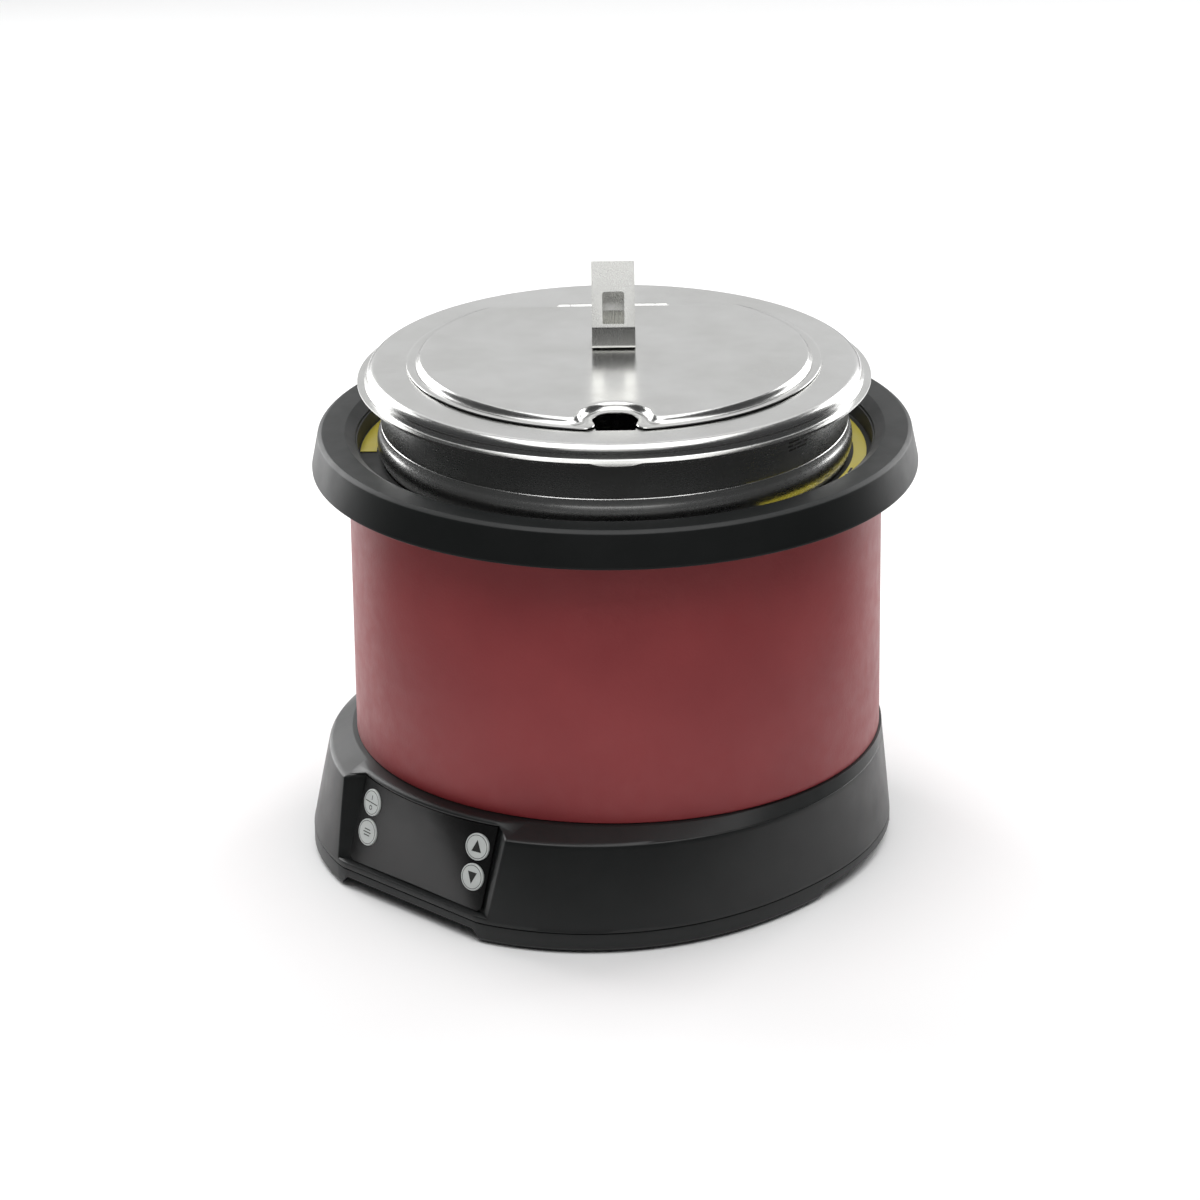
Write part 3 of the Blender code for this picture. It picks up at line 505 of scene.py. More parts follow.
def skirt_shape(z, inset=0.0):
    """The skirt's outline at a height between the seam and the shoulder."""
    return inset_shape(blend(SEAM_SHAPE, SHOULDER_SHAPE, (z - SEAM_Z) / (SHOULDER_Z - SEAM_Z)), inset)


def ledge_shape(z):
    """The outline of the sloping ledge between the shoulder and the sleeve."""
    return blend(SHOULDER_SHAPE, LEDGE_SHAPE, (z - SHOULDER_Z) / (LEDGE_Z - SHOULDER_Z))


def round_shape(radius):
    return radius, radius, 0.0, 2.0


def shape_point(shape, angle):
    """The point of an outline at an angle in radians about its own middle."""
    half_x, half_y, shift, power = shape
    sums = (abs(math.cos(angle)) / half_x) ** power + (abs(math.sin(angle)) / half_y) ** power
    reach = sums ** (-1 / power)
    return reach * math.cos(angle), reach * math.sin(angle) - shift


def shape_y(shape):
    """The outline's front, as y for a given x."""
    half_x, half_y, shift, power = shape
    return lambda x: -shift - half_y * (1 - (abs(x) / half_x) ** power) ** (1 / power)


def panel_y(x, z):
    """The panel's front face: an arc at the top that straightens on the way down."""
    s = (PANEL_TOP_Z - z) / (PANEL_TOP_Z - PANEL_FOOT_Z)
    arc_y = math.sqrt(PANEL_ARC_R ** 2 - x ** 2)
    return -(arc_y + (PANEL_CHORD_Y - arc_y) * s)


def recessed(z, depth=RECESS):
    return lambda x: panel_y(x, z) + depth


def level(y):
    return lambda x: -y


def skirt_ring(z, shape, bay=None, bay_z=None, inset=0.0, edge=0.1, arc_steps=150, bay_steps=36):
    """Points round the skirt: the long way round, a softened corner, the bay's face, the other corner."""
    bay = bay or shape_y(shape)
    bay_z = z if bay_z is None else bay_z
    opened = CHEEK_FOOT + CHEEK_SPREAD * min((z - SEAM_Z) / (SHOULDER_Z - SEAM_Z), 1)
    half = BAY_HALF + inset + opened
    front = shape_y(shape)
    first = math.atan2(front(half + edge) + shape[2], half + edge)
    turn = (math.pi - 2 * first) / arc_steps
    points = [(*shape_point(shape, first + turn * i), z) for i in range(arc_steps + 1)]
    floor_half = BAY_HALF + inset - 1.0
    corner, last = Vector((-half, front(half), z)), Vector(points[-1])
    inner_end = Vector((-floor_half, bay(floor_half), bay_z))
    away = corner + (inner_end - corner).normalized() * edge
    left = [last * (1 - t) ** 2 + corner * 2 * t * (1 - t) + away * t * t for t in (0.3, 0.6, 1.0)]
    floor = [-floor_half + 2 * floor_half * i / bay_steps for i in range(bay_steps + 1)]
    return points + left + [(x, bay(x), bay_z) for x in floor] + [(-p.x, p.y, p.z) for p in reversed(left)]


def panel_frame(x, z):
    """Matrix at a point of the panel's face: local Z points out of it, local Y up along it."""
    along = Vector((1, panel_y(x + 0.5, z) - panel_y(x - 0.5, z), 0)).normalized()
    up = Vector((0, panel_y(x, z + 0.5) - panel_y(x, z - 0.5), 1)).normalized()
    out = along.cross(up).normalized()
    matrix = Matrix((along, out.cross(along), out)).transposed().to_4x4()
    matrix.translation = Vector((x, panel_y(x, z), z)) * MM
    return matrix


def ring_place(radius, shift, angle, z=0.0):
    """Matrix at an angle round a circle slid towards the panel."""
    a = math.radians(angle)
    return Matrix.Translation(Vector((radius * math.cos(a), radius * math.sin(a) - shift, z)) * MM)


def gland_matrix():
    x, y = shape_point(skirt_shape(GLAND_Z), math.radians(GLAND_ANGLE))
    tilt = Matrix.Rotation(math.radians(GLAND_ANGLE - 90), 4, "Z") @ Matrix.Rotation(-math.pi / 2, 4, "X")
    return Matrix.Translation(Vector((x, y, GLAND_Z)) * MM) @ tilt


def rod(name, radius, low, high, place, steps=24):
    mesh = turned(name, [(0, low), (radius, low), (radius, high), (0, high)], steps)
    mesh.transform(place)
    return mesh


def make_housing():
    """Skirt with its panel bay, the bar under it, the lip above it and the ledge under the sleeve."""
    foot = SEAM_Z + 0.3
    bar = level(BAR_Y)
    lip = lambda radius: shape_y(round_shape(radius))
    under = LEDGE_Z - SKIN
    rings = [
        skirt_ring(foot, skirt_shape(foot, 0.5), level(BAR_Y - 0.5)),
        skirt_ring(foot + 0.12, skirt_shape(foot, 0.14), level(BAR_Y - 0.15)),
        skirt_ring(foot + 0.5, skirt_shape(foot), bar),
        skirt_ring(14.6, skirt_shape(14.6), bar, 15.2, edge=0.4),
        skirt_ring(15.0, skirt_shape(15.0), level(BAR_Y - 0.25), 15.75, edge=0.6),
        skirt_ring(15.4, skirt_shape(15.4), level(BAR_Y - 0.9), BAR_TOP, edge=0.8),
        skirt_ring(16.0, skirt_shape(16.0), recessed(16.3), 16.3, edge=0.9),
    ]
    for z in (22, 31, 38.5, 46, 53, 58, 60.2):
        rings.append(skirt_ring(z, skirt_shape(z), recessed(z), edge=0.9))
    rings += [
        skirt_ring(60.75, skirt_shape(60.75, 0.12), recessed(62), 62, edge=0.9),
        skirt_ring(61.1, skirt_shape(61.0, 0.6), recessed(63.6), 63.6, edge=0.8),
        skirt_ring(61.35, ledge_shape(61.35), lip(160.7), 63.9, edge=0.7),
        skirt_ring(62.0, ledge_shape(62.0), lip(161.4), 64.2, edge=0.6),
        skirt_ring(63.2, ledge_shape(63.2), lip(161.5), 65.0, edge=0.5),
        skirt_ring(64.6, ledge_shape(64.6), lip(161.1), 65.7, edge=0.4),
        skirt_ring(65.8, ledge_shape(65.8), lip(160.2), 66.3, edge=0.3),
        skirt_ring(66.5, ledge_shape(66.5), lip(158.4), 66.7, edge=0.2),
        skirt_ring(LEDGE_Z, LEDGE_SHAPE),
        skirt_ring(LEDGE_Z, round_shape(136.3)),
        skirt_ring(under, round_shape(136.3)),
        skirt_ring(under - 0.2, inset_shape(LEDGE_SHAPE, 2), inset=SKIN),
        skirt_ring(58.0, skirt_shape(58.0, SKIN), recessed(58.0, RECESS + SKIN), inset=SKIN),
        skirt_ring(16.3, skirt_shape(16.3, SKIN), recessed(16.3, RECESS + SKIN), inset=SKIN),
        skirt_ring(foot, skirt_shape(foot, SKIN), recessed(16.3, RECESS + SKIN), inset=SKIN),
    ]
    wall = skin("housing_wall", rings, "joined", 30)
    holes = [rod("stem_hole", 5, -9, 4, panel_frame(x, z)) for x, z in BUTTONS.values()]
    window = box_mesh("window", (0, 0, -2), (50, 20, 16))
    window.transform(panel_frame(0, 42))
    wall = carved(wall, *holes, window, rod("gland_hole", 8.3, -12, 12, gland_matrix()))
    bosses = []
    for angle in FOOT_ANGLES:
        boss = turned("boss", [(2, 10.6), (5, 10.6), (5, 48), (4, 50), (2, 50)], 24)
        boss.transform(ring_place(BOSS_CIRCLE, BOSS_SHIFT, angle))
        bosses.append(boss)
    housing = joined("skirt_housing", wall, *bosses)
    piece("skirt_housing", housing, [ABS], "base", "black_plastic", "base_housing")


def make_pan():
    """Bottom pan: plate, rim band and the three arches between its feet."""
    inside, low, top = SKIN + 0.3, PAN_LOW.z, SEAM_Z
    around = lambda inset: inset_shape(SEAM_SHAPE, inset)
    bar = lambda inset: level(BAR_Y - inset)
    middle = round_shape(60)
    rings = [
        skirt_ring(7.8, middle),
        skirt_ring(7.8, around(inside), bar(SKIN)),
        skirt_ring(low, around(inside), bar(SKIN)),
        skirt_ring(low, around(1.6), bar(1.5)),
        skirt_ring(low + 0.4, around(0.8), bar(0.7)),
        skirt_ring(low + 1.7, SEAM_SHAPE, bar(0)),
        skirt_ring(top - 0.5, SEAM_SHAPE, bar(0)),
        skirt_ring(top - 0.12, around(0.14), bar(0.15)),
        skirt_ring(top, around(0.5), bar(0.5)),
        skirt_ring(top, around(inside), bar(SKIN)),
        skirt_ring(10.3, around(inside + 0.3), bar(SKIN + 0.3)),
        skirt_ring(10.3, middle),
    ]
    tools = []
    for angle in ARCH_ANGLES:
        outline = rounded([(-58.5, -1, 0), (58.5, -1, 0), (50.5, 7.3, 3), (-50.5, 7.3, 3)])
        upright = Matrix.Rotation(math.radians(angle - 90), 4, "Z") @ Matrix.Rotation(math.pi / 2, 4, "X")
        tools.append(prism("arch", outline, -200, -132, ring_place(0, SEAM_SHAPE[2], 0) @ upright))
    fan_low, fan_high = corners("fan_rotor")
    fan = (fan_low + fan_high) / 2
    for i in range(-3, 4):
        tools.append(box_mesh("fan_slot", (fan.x, fan.y + 9 * i, 9), (64, 4, 6)))
    for i in range(6):
        tools.append(box_mesh("back_slot", (-50 + 20 * i, 118, 9), (6, 34, 6)))
    for angle in FOOT_ANGLES:
        spot = ring_place(BOSS_CIRCLE, BOSS_SHIFT, angle)
        tools.append(rod("screw_hole", 2.2, 5, 14, spot))
        tools.append(rod("boss_room", 5.35, 10.2, top + 1, spot))
        tools.append(rod("head_room", 4.0, low - 1, 7.8, spot))
    pan = carved(skin("pan", rings, "capped", 30), *tools)
    piece("plinth_pan", pan, [ABS], "base", "black_plastic", "bottom_pan")


def make_feet_and_gland():
    for i, angle in enumerate(FOOT_ANGLES, 1):
        top = PAN_LOW.z + 6.0
        outline = rounded([(0, 0, 0), (7, 0, 0.6), (7.6, 0.8, 0.5), (8.4, 0.8, 0.5), (9.4, 0, 0.6),
                           (10.4, 0.3, 0.5), (11, 1.2, 0.6), (11, top, 0.4), (0, top, 0)])
        foot = turned(f"foot_{i}", outline, 48)
        foot.transform(ring_place(134, 10.5, angle))
        piece(f"foot_pad_{i}", foot, [RUBBER], "base", "rubber", f"rubber_foot_{i}")
    outline = rounded([(4.0, -9, 0.4), (8.0, -9, 0.4), (8.0, 1.2, 0.2), (11, 1.2, 0.4), (11, 3.0, 0.8),
                       (8.5, 4.2, 1), (6.2, 9, 0.8), (4.0, 9, 0.4)])
    gland = turned("gland", outline, 48)
    gland.transform(gland_matrix())
    piece("cord_collar", gland, [RUBBER], "base", "rubber", "cord_gland")


# ---------------------------------------------------------------- panel and buttons

def make_overlay():
    """Film-faced cover that fills the bay, with softened lower corners and a hole for each button."""
    half, low, high, thickness = BAY_HALF - 1.6, PANEL_FOOT_Z, 63.6, 1.3
    columns, rows, corner = 48, 24, 3.0
    fronts, backs = [], []
    for j in range(rows + 1):
        z = low + (high - low) * j / rows
        tuck = corner - math.sqrt(max(corner ** 2 - max(corner - (z - low), 0) ** 2, 0))
        for i in range(columns + 1):
            x = (half - tuck) * (2 * i / columns - 1)
            fronts.append((x, panel_y(x, z), z))
            backs.append((x, panel_y(x, z) + thickness, z))
    bm = bmesh.new()
    sides = [[bm.verts.new(Vector(p) * MM) for p in points] for points in (fronts, backs)]
    width = columns + 1
    for side in sides:
        for j in range(rows):
            for i in range(columns):
                a = j * width + i
                bm.faces.new([side[k] for k in (a, a + 1, a + width + 1, a + width)])
    rim = list(range(width)) + [j * width + columns for j in range(1, rows + 1)]
    rim += [rows * width + i for i in reversed(range(columns))]
    rim += [j * width for j in reversed(range(1, rows))]
    for a, b in zip(rim, rim[1:] + rim[:1]):
        bm.faces.new((sides[0][a], sides[0][b], sides[1][b], sides[1][a]))
    holes = []
    for x, z in BUTTONS.values():
        holes.append(rod("button_hole", BUTTON_R + 0.35, -6, 6, panel_frame(x, z), 64))
    cover = carved(finish_mesh("cover", bm), *holes)
    piece("panel_cover", cover, [FILM], "base", "panel_film", "panel_overlay")


PRINT = (0.86, 0.93)  # from just inside a button's face to just above it


def mark(name, outline):
    """A flat printed mark on a button's face."""
    made = prism(name, outline, *PRINT)
    made["finish"] = 1
    return made


def bar_mark(x, y, width, height):
    return [(x - width / 2, y - height / 2), (x + width / 2, y - height / 2),
            (x + width / 2, y + height / 2), (x - width / 2, y + height / 2)]


def ring_mark(radius, width, y=0.0):
    """A printed circle line, with its middle y up the button's face."""
    low, high = PRINT
    outline = [(radius, low), (radius + width, low), (radius + width, high), (radius, high)]
    made = turned("ring_mark", outline, 64)
    made.transform(Matrix.Translation((0, y * MM, 0)))
    made["finish"] = 1
    return made


def button_marks(name):
    """Plain marks: a stroke over a ring for power, three bars for function, and two arrowheads."""
    if name == "button_power":
        divider, stroke = bar_mark(0, 0, 11.4, 0.55), bar_mark(0, 2.9, 0.55, 2.6)
        return [mark("divider", divider), mark("one", stroke), ring_mark(0.9, 0.5, -2.9)]
    if name == "button_function":
        return [mark("bar", bar_mark(0, 1.7 * i, 6.4 - 1.6 * abs(i), 0.6)) for i in (-1, 0, 1)]
    tip = 4.0 if name == "button_up" else -4.0
    return [mark("arrow", [(0, tip), (-3.2, -0.72 * tip), (3.2, -0.72 * tip)])]


def make_buttons():
    for name, (x, z) in BUTTONS.items():
        cap = rounded([(0, -6.0, 0), (3.6, -6.0, 0.3), (3.6, -1.0, 0.2), (BUTTON_R, -1.0, 0.2),
                       (BUTTON_R, 0.88, 0.5), (0, 0.88, 0)])
        button = joined(name + "_cap", turned("cap", cap, 64), ring_mark(6.5, 0.3), *button_marks(name))
        button.transform(panel_frame(x, z))
        body = name.split("_")[1] + "_button"
        piece(name + "_cap", button, [KEY, INK], body, "button_grey", name)


# ---------------------------------------------------------------- sleeve, ring and well

def make_sleeve():
    inner, foot, top = SHELL_R - 0.8, SHELL_LOW.z, SHELL_HIGH.z
    outline = [(inner, foot, 0.3), (SHELL_R, foot, 0.35), (SHELL_R, top, 0.3), (inner, top, 0.3)]
    sleeve = turned("sleeve", rounded(outline), 256)
    piece("red_sleeve", sleeve, [RED_COAT], "base", "red_coat", "outer_shell")


def make_ring():
    """Overhanging rim ring: a flat top, a chamfered mouth and a wall that leans in on the way up."""
    low, top, lip = RING_LOW.z, RING_TOP, SHELL_HIGH.z + 0.3
    outline = [(RING_R - 0.1, low, 0.4), (RING_R, low + 1.5, 0.4), (168.9, top - 1.6, 1.4), (166.4, top, 1.6),
               (153.4, top, 1.0), (147.6, lip + 0.9, 0.8), (147.4, lip, 0.3), (150.5, lip, 0.5),
               (154.6, top - 3, 1), (165.6, top - 3, 1.0), (166.4, top - 3.8, 0.5),
               (RING_R - 3, low + 1.6, 0.8), (RING_R - 3.1, low, 0.3)]
    ring = turned("rim_cap", rounded(outline))
    piece("rim_cap", ring, [RING_PLASTIC], "base", "black_ring", "rim_ring")


def make_well():
    """Inner well: floor with the sensor hole, wall, seat for the pot's bead, and the wall up to the ring."""
    floor, top, hole = WELL_LOW.z + 3, WELL_HIGH.z, 11.5
    outside = WELL_R + WELL_WALL
    outline = [(hole, floor, 0.4), (WELL_R, floor, 4), (WELL_R, SEAT_Z, 0.6), (WELL_LEDGE_R, SEAT_Z, 0.8),
               (WELL_LEDGE_R + 0.5, top, 0.3), (WELL_LEDGE_R + 2.5, top, 0.3),
               (WELL_LEDGE_R + 2, SEAT_Z - 2.5, 0.5), (outside, SEAT_Z - 2.5, 1), (outside, floor - 3, 3),
               (hole, floor - 3, 0.4)]
    well = turned("well_liner", rounded(outline))
    piece("well_liner", well, [WELL_PLASTIC], "base", "well_plastic", "inner_well")


def make_labels():
    """Yellow stickers, flat ring sectors with straight ends; short bars stand where a printed notice would
    be.
    """
    low, high = LABEL_LOW.z, LABEL_HIGH.z
    for name, outer, first, last in (("left", 145.0, 154, 224), ("right", 143.0, -8, 64)):
        inner = 135.6
        a, b = math.radians(first), math.radians(last)
        outline = arc((0, 0), outer, a, b, 60) + arc((0, 0), inner, b, a, 60)
        sticker = prism("sticker", outline, low, high - 0.08)
        bars = []
        for row, lengths in enumerate(((2.6, 4.2, 1.8, 3.4), (3.6, 2.2, 3.9))):
            radius = inner + (outer - inner) * (0.32 + 0.32 * row)
            at = a + (b - a) * 0.3
            for length in lengths:
                end = at + math.radians(length)
                strip = arc((0, 0), radius + 0.7, at, end, 6) + arc((0, 0), radius - 0.7, end, at, 6)
                bar = prism("bar", strip, high - 0.08, high)
                bar["finish"] = 1
                bars.append(bar)
                at = end + math.radians(0.9)
        sheet = joined("sticker_" + name, sticker, *bars)
        piece("sticker_" + name, sheet, [VINYL, INK], "base", "label_yellow", "caution_label_" + name)


# ---------------------------------------------------------------- pot

def make_pot():
    """Spun pot: straight wall, a rolled bead that hangs on the well's seat, a neck and a flat lip."""
    bottom, lip = POT_LOW.z, POT_HIGH.z - SHEET
    wall, neck, bead_z, crease = 130.6, 132.6, 241.2, 251.8
    bead = arc((120.2, bead_z), 14.7, math.radians(-38), math.radians(29), 16)
    line = [(0, bottom, 0), (wall, bottom, 6), (wall, 229.0, 3)]
    line += [(r, z, 0) for r, z in bead]
    line += [(neck + 0.05, crease - 0.4, 0), (neck - 0.25, crease, 0.1), (neck, crease + 0.5, 0.1),
             (neck, lip, 2.2), (POT_HIGH.x, lip, 0)]
    outline = thick(rounded(line, closed=False, steps=6)[::-1], SHEET)
    piece("soup_pot", turned("soup_pot", outline, sharp=28), [POT_STEEL], "pot", "steel", "pot")


def make_pot_etching():
    """Short etched bars on the neck, in three rows."""
    radius, bars = 132.6, []
    turn = LID_TURN - math.pi / 2 + math.radians(49)
    for row, lengths in enumerate(((9, 5), (4, 7, 4), (6, 8))):
        at = turn - math.radians(sum(lengths) * 0.22)
        z = 267.5 - 2.2 * row
        for length in lengths:
            span = length / radius
            outline = arc((0, 0), radius + 0.06, at, at + span, 6)
            outline += arc((0, 0), radius - 0.1, at + span, at, 6)
            bars.append(prism("etched", outline, z, z + 1.0))
            at += span + 1.2 / radius
    piece("pot_etching", joined("pot_etching", *bars), [ETCH], "pot", "steel")


# ---------------------------------------------------------------- lid

LID_MATRIX = Matrix.Rotation(LID_TURN, 4, "Z")


def lid_piece(name, mesh, finish, body, *nodes):
    mesh.transform(LID_MATRIX)
    return piece(name, mesh, [finish], body, "steel", *nodes)


def make_lid_ring():
    """Lid ring: rolled brim with a finger tab, wall, shoulder and a flat deck with the D-shaped opening."""
    bend = 5.5
    line = [(BRIM_R, BRIM_Z + SHEET, 0), (140.9, BRIM_Z + SHEET, 1.6), (LID_WALL_R + 0.1, BRIM_Z + 3.4, 0)]
    line += [(r, z, 0) for r, z in arc((LID_WALL_R - bend, DECK_Z - bend), bend, 0, math.pi / 2, 14)]
    line += [(0, DECK_Z, 0)]
    outline = thick(rounded(line, closed=False, steps=8)[::-1], SHEET)
    ring = turned("lid_ring_turned", outline, sharp=28)
    tab_reach, tab_half, tab_flat = 149.3, 12.0, 8.6
    for vertex in ring.vertices:
        x, y, z = vertex.co / MM
        radius = math.hypot(x, y)
        if y > 0 or radius < 143.2 or z > BRIM_Z + 2 or abs(x) > tab_half:
            continue
        rise = min((tab_half - abs(x)) / (tab_half - tab_flat), 1.0)
        rise = rise * rise * (3 - 2 * rise)
        target = radius + (tab_reach - BRIM_R) * rise * (radius - 143.2) / (BRIM_R - 143.2)
        vertex.co.y = -math.sqrt(target ** 2 - x ** 2) * MM
    corner = math.asin(80 / OPENING_R)
    opening = prism("opening", arc((0, 0), OPENING_R, math.pi - corner, math.tau + corner, 90), 270, 300)
    relief = rounded([(-11, -100, 0), (-11, -116, 0.8), (11, -116, 0.8), (11, -100, 0)])
    relief_cut = prism("relief_cut", relief, DECK_Z - 4, DECK_Z + 4)
    lid_piece("lid_rim", carved(ring, opening, relief_cut), LID_STEEL, "lid", "lid_ring")


def door_outline(inset):
    """The door's edge stepped inwards: round front, ladle notch with softened corners, straight back."""
    radius, notch = DOOR_R - inset, NOTCH_R + 1.0 * inset
    chord, corner = DOOR_CHORD - 0.45 * inset, NOTCH_CORNER
    centre_y = ((radius - corner) ** 2 + NOTCH_Y ** 2 - (notch + corner) ** 2) / (2 * NOTCH_Y)
    centre_x = math.sqrt((radius - corner) ** 2 - centre_y ** 2)
    touch = math.atan2(centre_y - NOTCH_Y, centre_x)
    mouth = math.atan2(centre_y, centre_x)
    half = arc((0, 0), radius, math.asin(chord / radius), mouth, 90)
    half += arc((centre_x, centre_y), corner, mouth, touch - math.pi, 10)[1:]
    half += arc((0, NOTCH_Y), notch, touch, math.pi / 2, 14)[1:]
    left = [(-x, y) for x, y in reversed(half[:-1])]
    end = half[0][0]
    back = [(-end + 2 * end * i / 40, chord) for i in range(1, 40)]
    return half + left + back


def make_door():
    """Pressed door: a low flange bead, a valley, then the step up to its flat plateau."""
    flange = DECK_Z + 1.3
    steps = [(0.35, flange - 0.75), (0.0, flange - 0.35), (0.2, flange + 0.1), (0.8, flange + 0.35),
             (1.8, flange + 0.5), (3.4, flange + 0.45), (4.6, flange + 0.1), (5.3, flange - 0.1),
             (6.0, flange + 0.3), (6.7, flange + 1.7), (7.3, flange + 2.8), (8.1, PLATEAU_Z - 0.12),
             (9.2, PLATEAU_Z), (11.5, PLATEAU_Z)]
    tops = [[(x, y, z) for x, y in door_outline(inset)] for inset, z in steps]
    unders = [[(x, y, z - SHEET) for x, y in door_outline(inset)] for inset, z in reversed(steps[3:])]
    sheet = skin("door_sheet", unders + tops, "capped", 50)
    knuckle = tube("door_knuckle", BORE_R, KNUCKLE_R, -DOOR_KNUCKLE_HALF, DOOR_KNUCKLE_HALF)
    knuckle.transform(Matrix.Translation(Vector((0, HINGE_Y, HINGE_Z)) * MM))
    lid_piece("ladle_door", joined("ladle_door", sheet, knuckle), LID_STEEL, "door", "lid_door")


def make_hinge():
    """Leaf on the deck with a rounded ear and a knuckle at each end, and the pin."""
    leaf_low, back_y = DECK_Z + 0.3, HINGE_Y + 13.5
    shapes = []
    front_y, waist_y = HINGE_Y + 2.2, HINGE_Y + 8
    plate = rounded([(-HINGE_HALF, front_y, 0.5), (HINGE_HALF, front_y, 0.5), (HINGE_HALF, back_y, 4),
                     (21, back_y, 3), (18, waist_y, 3), (-18, waist_y, 3), (-21, back_y, 3),
                     (-HINGE_HALF, back_y, 4)])
    clear = HINGE_Y + 2.9
    cleared = [(x, max(y, clear) if abs(x) < 24.7 else y) for x, y in plate]
    shapes.append(prism("leaf", cleared, leaf_low, leaf_low + 0.9))
    for side in (-1, 1):
        low, high = sorted((side * (DOOR_KNUCKLE_HALF + 0.3), side * HINGE_HALF))
        knuckle = tube("ear_knuckle", BORE_R, KNUCKLE_R, low, high)
        knuckle.transform(Matrix.Translation(Vector((0, HINGE_Y, HINGE_Z)) * MM))
        middle = ((low + high) / 2, HINGE_Y + 2.0, leaf_low + 0.45)
        shapes += [knuckle, box_mesh("ear", middle, (high - low, 3.2, 0.9))]
    leaf = joined("hinge_leaf_plate", *shapes)
    lid_piece("hinge_leaf_plate", leaf, LID_STEEL, "lid", "hinge_leaf")
    end = HINGE_HALF + 0.8
    outline = rounded([(0, -end, 0), (PIN_R, -end, 0.5), (PIN_R, end, 0.5), (0, end, 0)])
    pin = turned("hinge_rod", outline, 24)
    lying = Matrix.Rotation(math.pi / 2, 4, "Y")
    pin.transform(Matrix.Translation(Vector((0, HINGE_Y, HINGE_Z)) * MM) @ lying)
    lid_piece("hinge_rod", pin, STRAP_STEEL, "lid", "hinge_pin")


def make_handle():
    """Strap handle, one bent strip: rear leg, foot on the door, front riser, leaning slotted grip."""
    low = PLATEAU_Z + 0.3
    foot_z = low + STRAP_THICK
    line = [(REAR_LEG_Y + REAR_LEG_LEAN, REAR_LEG_TOP, 0), (REAR_LEG_Y, BEND_Z, 1.2),
            (REAR_LEG_Y, foot_z, 1.4), (HANDLE_Y, foot_z, 1.4), (HANDLE_Y, BEND_Z, 1.2),
            (HANDLE_Y + HANDLE_LEAN, HANDLE_TOP, 0)]
    outline = thick(rounded(line, closed=False, steps=6), -STRAP_THICK)
    upright = Matrix(((0, 0, 1, 0), (1, 0, 0, 0), (0, 1, 0, 0), (0, 0, 0, 1)))
    strap = prism("strap", outline, -STRAP_HALF, STRAP_HALF, upright)
    slot = rounded([(-SLOT_HALF, 0, 0.4), (SLOT_HALF, 0, 0.4), (SLOT_HALF, SLOT_LENGTH, 1.8),
                    (-SLOT_HALF, SLOT_LENGTH, 1.8)])
    lean = math.atan2(HANDLE_LEAN, HANDLE_TOP - BEND_Z)
    stand = Matrix.Rotation(-lean, 4, "X") @ Matrix.Rotation(math.pi / 2, 4, "X")
    foot = Matrix.Translation(Vector((0, HANDLE_Y + 0.8, BEND_Z + 1.8)) * MM)
    strap = carved(strap, prism("slot", slot, -12, 12, foot @ stand))
    handle = lid_piece("strap_handle", strap, STRAP_STEEL, "door", "lid_handle")
    soften(handle, 0.22, 50, 2)


# ---------------------------------------------------------------- inner nodes keep their CAD shapes

INNER_FINISHES = {
    "insulation_sleeve": WOOL, "coil_tray": TRAY, "induction_coil": COPPER, "sensor_cap": ALUMINIUM,
    "sensor_holder": TRAY, "sensor_spring": ZINC, "power_board": BOARD, "control_board": BOARD,
    "display_module": SMOKED, "heat_sink": ALUMINIUM, "bus_capacitor": SLEEVE, "line_filter": TRAY,
    "fan_frame": ABS, "fan_rotor": ABS, "ferrite_bar": FERRITE, "board_spacer": TRAY, "pan_screw": ZINC,
}


def finish_inner_nodes():
    for node, obj in frame["nodes"].items():
        family = node.rstrip("_0123456789")
        if family in INNER_FINISHES:
            obj.data.materials.clear()
            obj.data.materials.append(INNER_FINISHES[family])


# ---------------------------------------------------------------- stage, light and camera

VIEW_TURN = math.radians(43.85)
AIM = Vector((-0.0069, -0.0067, 0.1393))
VIEW_RISE, VIEW_ROLL = math.radians(22.04), math.radians(-0.73)
VIEW_DISTANCE, LENS = 2.8, 145.7


def toward(turn, rise):
    """Unit vector from the kettle, turned from the viewer's side (positive to the right) and raised."""
    a = VIEW_TURN + math.radians(turn)
    e = math.radians(rise)
    return Vector((math.sin(a) * math.cos(e), -math.cos(a) * math.cos(e), math.sin(e)))


def softbox(name, turn, rise, distance, size, radiance, middle=0.18):
    """A flat soft light that faces the kettle's middle, set by how bright its face is."""
    data = bpy.data.lights.new(name, "AREA")
    data.shape = "RECTANGLE"
    data.size, data.size_y = size
    data.energy = radiance * math.pi * size[0] * size[1]
    lamp = bpy.data.objects.new(name, data)
    way = toward(turn, rise)
    lamp.location = Vector((0, 0, middle)) + way * distance
    lamp.rotation_euler = way.to_track_quat("Z", "Y").to_euler()
    scene.collection.objects.link(lamp)
    return lamp


def flat_sheet(name, centre, half_x, half_y, turn, colour, roughness):
    """A flat sheet of the stage."""
    place = Matrix.Translation(centre) @ Matrix.Rotation(turn, 4, "Z")
    points = [(-half_x, -half_y), (half_x, -half_y), (half_x, half_y), (-half_x, half_y)]
    return stage_sheet(name, [place @ Vector((*p, 0)) for p in points], [(0, 1, 2, 3)], colour, roughness)


def stage_sheet(name, points, faces, colour, roughness):
    mesh = bpy.data.meshes.new(name)
    mesh.from_pydata(points, [], faces)
    material, tree, shader, _ = start(name + "_paint")
    shader.inputs["Base Color"].default_value = linear(colour)
    shader.inputs["Roughness"].default_value = roughness
    mesh.materials.append(material)
    obj = bpy.data.objects.new(name, mesh)
    scene.collection.objects.link(obj)
    return obj


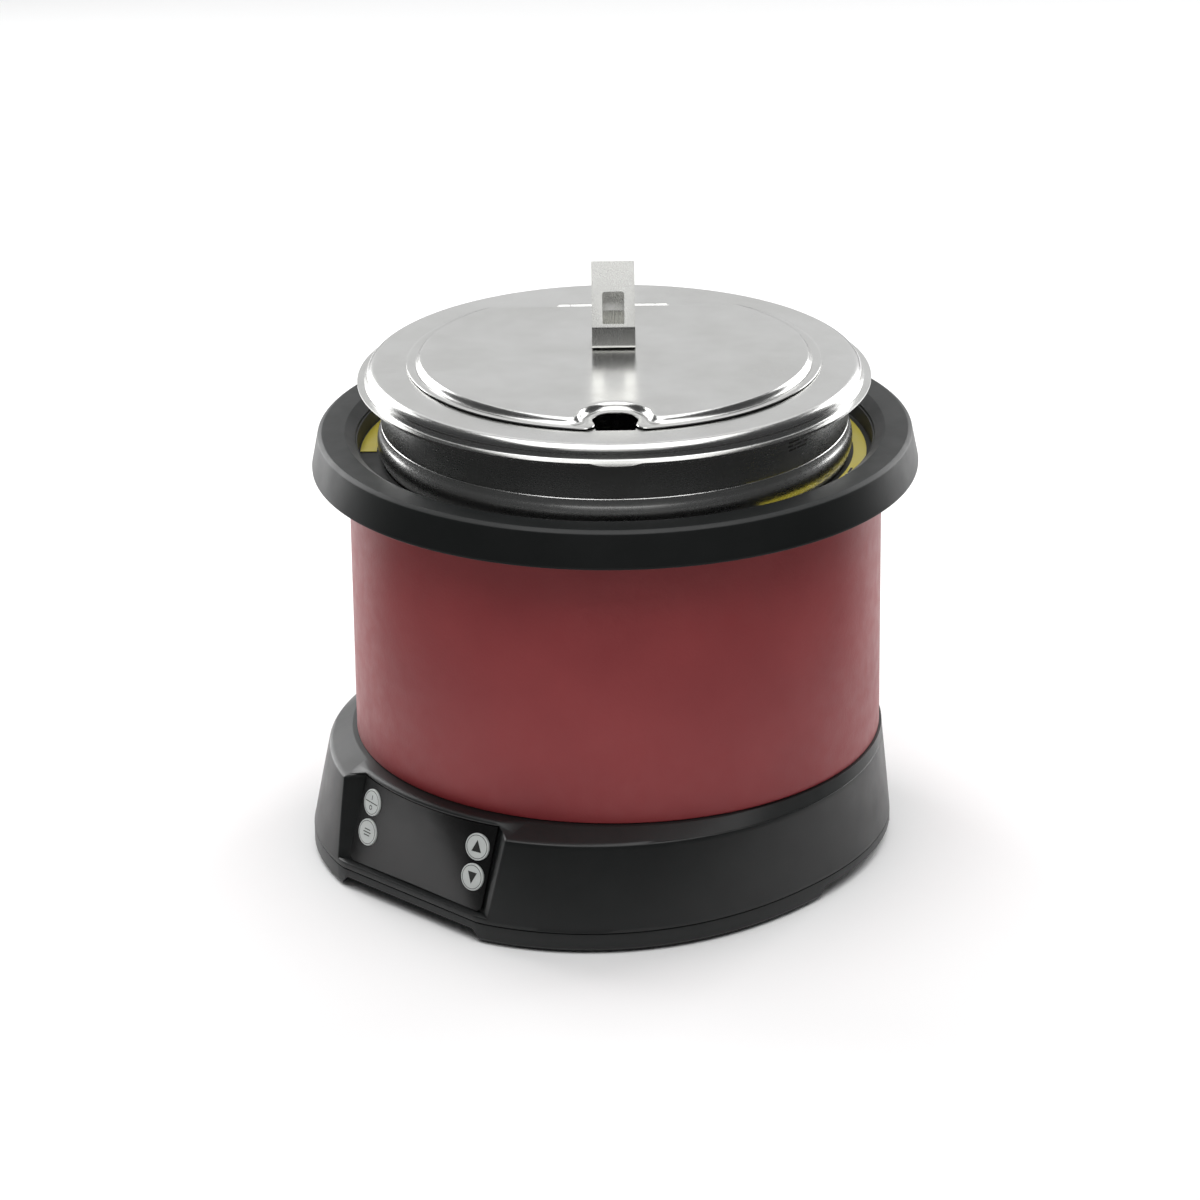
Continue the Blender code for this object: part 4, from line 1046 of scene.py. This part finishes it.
def sector_sheet(name, near, far, half_turn, colour, roughness):
    """A flat ring sector that lies on the floor on the camera's side, from near to far metres out."""
    turns = [half_turn * i / 24 for i in range(-24, 25)]
    points = [toward(turn, 0) * reach + Vector((0, 0, 0.004)) for turn in turns for reach in (near, far)]
    faces = [(i, i + 1, i + 3, i + 2) for i in range(0, len(points) - 2, 2)]
    return stage_sheet(name, points, faces, colour, roughness)


def make_stage():
    flat_sheet("floor", Vector((0, 0, 0)), 8, 8, 0, "#f4f4f4", 0.9)
    card = sector_sheet("dark_card", 0.42, 3.0, 112, "#0c0c0c", 0.9)
    card.visible_camera = False
    card.visible_diffuse = False
    card.visible_shadow = False
    world = bpy.data.worlds.new("studio")
    scene.world = world
    world.use_nodes = True
    world.node_tree.nodes["Background"].inputs["Color"].default_value = linear("#f4f6f8")
    world.node_tree.nodes["Background"].inputs["Strength"].default_value = 0.07
    softbox("back_wall_light", 180, 26, 2.3, (3.4, 2.0), 0.82)
    softbox("back_high_light", 180, 60, 2.2, (2.4, 0.8), 1.15)
    softbox("overhead_light", 0, 76, 1.9, (2.4, 1.9), 2.9)
    softbox("left_light", -134, 16, 1.8, (1.0, 1.4), 5.0)
    softbox("right_light", 132, 16, 1.9, (1.0, 1.4), 5.0)
    softbox("front_high_light", 0, 40, 2.2, (1.7, 0.9), 0.72)
    scene.view_settings.view_transform = "Standard"


def make_camera():
    data = bpy.data.cameras.new("camera")
    data.sensor_width = 36
    data.lens = LENS
    camera = bpy.data.objects.new("camera", data)
    scene.collection.objects.link(camera)
    rise = math.degrees(VIEW_RISE)
    back = toward(0, rise)
    camera.location = AIM + back * VIEW_DISTANCE
    camera.rotation_mode = "QUATERNION"
    roll = Matrix.Rotation(VIEW_ROLL, 3, "Z").to_quaternion()
    camera.rotation_quaternion = back.to_track_quat("Z", "Y") @ roll
    scene.camera = camera


make_housing()
make_pan()
make_feet_and_gland()
make_overlay()
make_buttons()
make_sleeve()
make_ring()
make_well()
make_labels()
make_pot()
make_pot_etching()
make_lid_ring()
make_door()
make_hinge()
make_handle()
finish_inner_nodes()
make_stage()
make_camera()
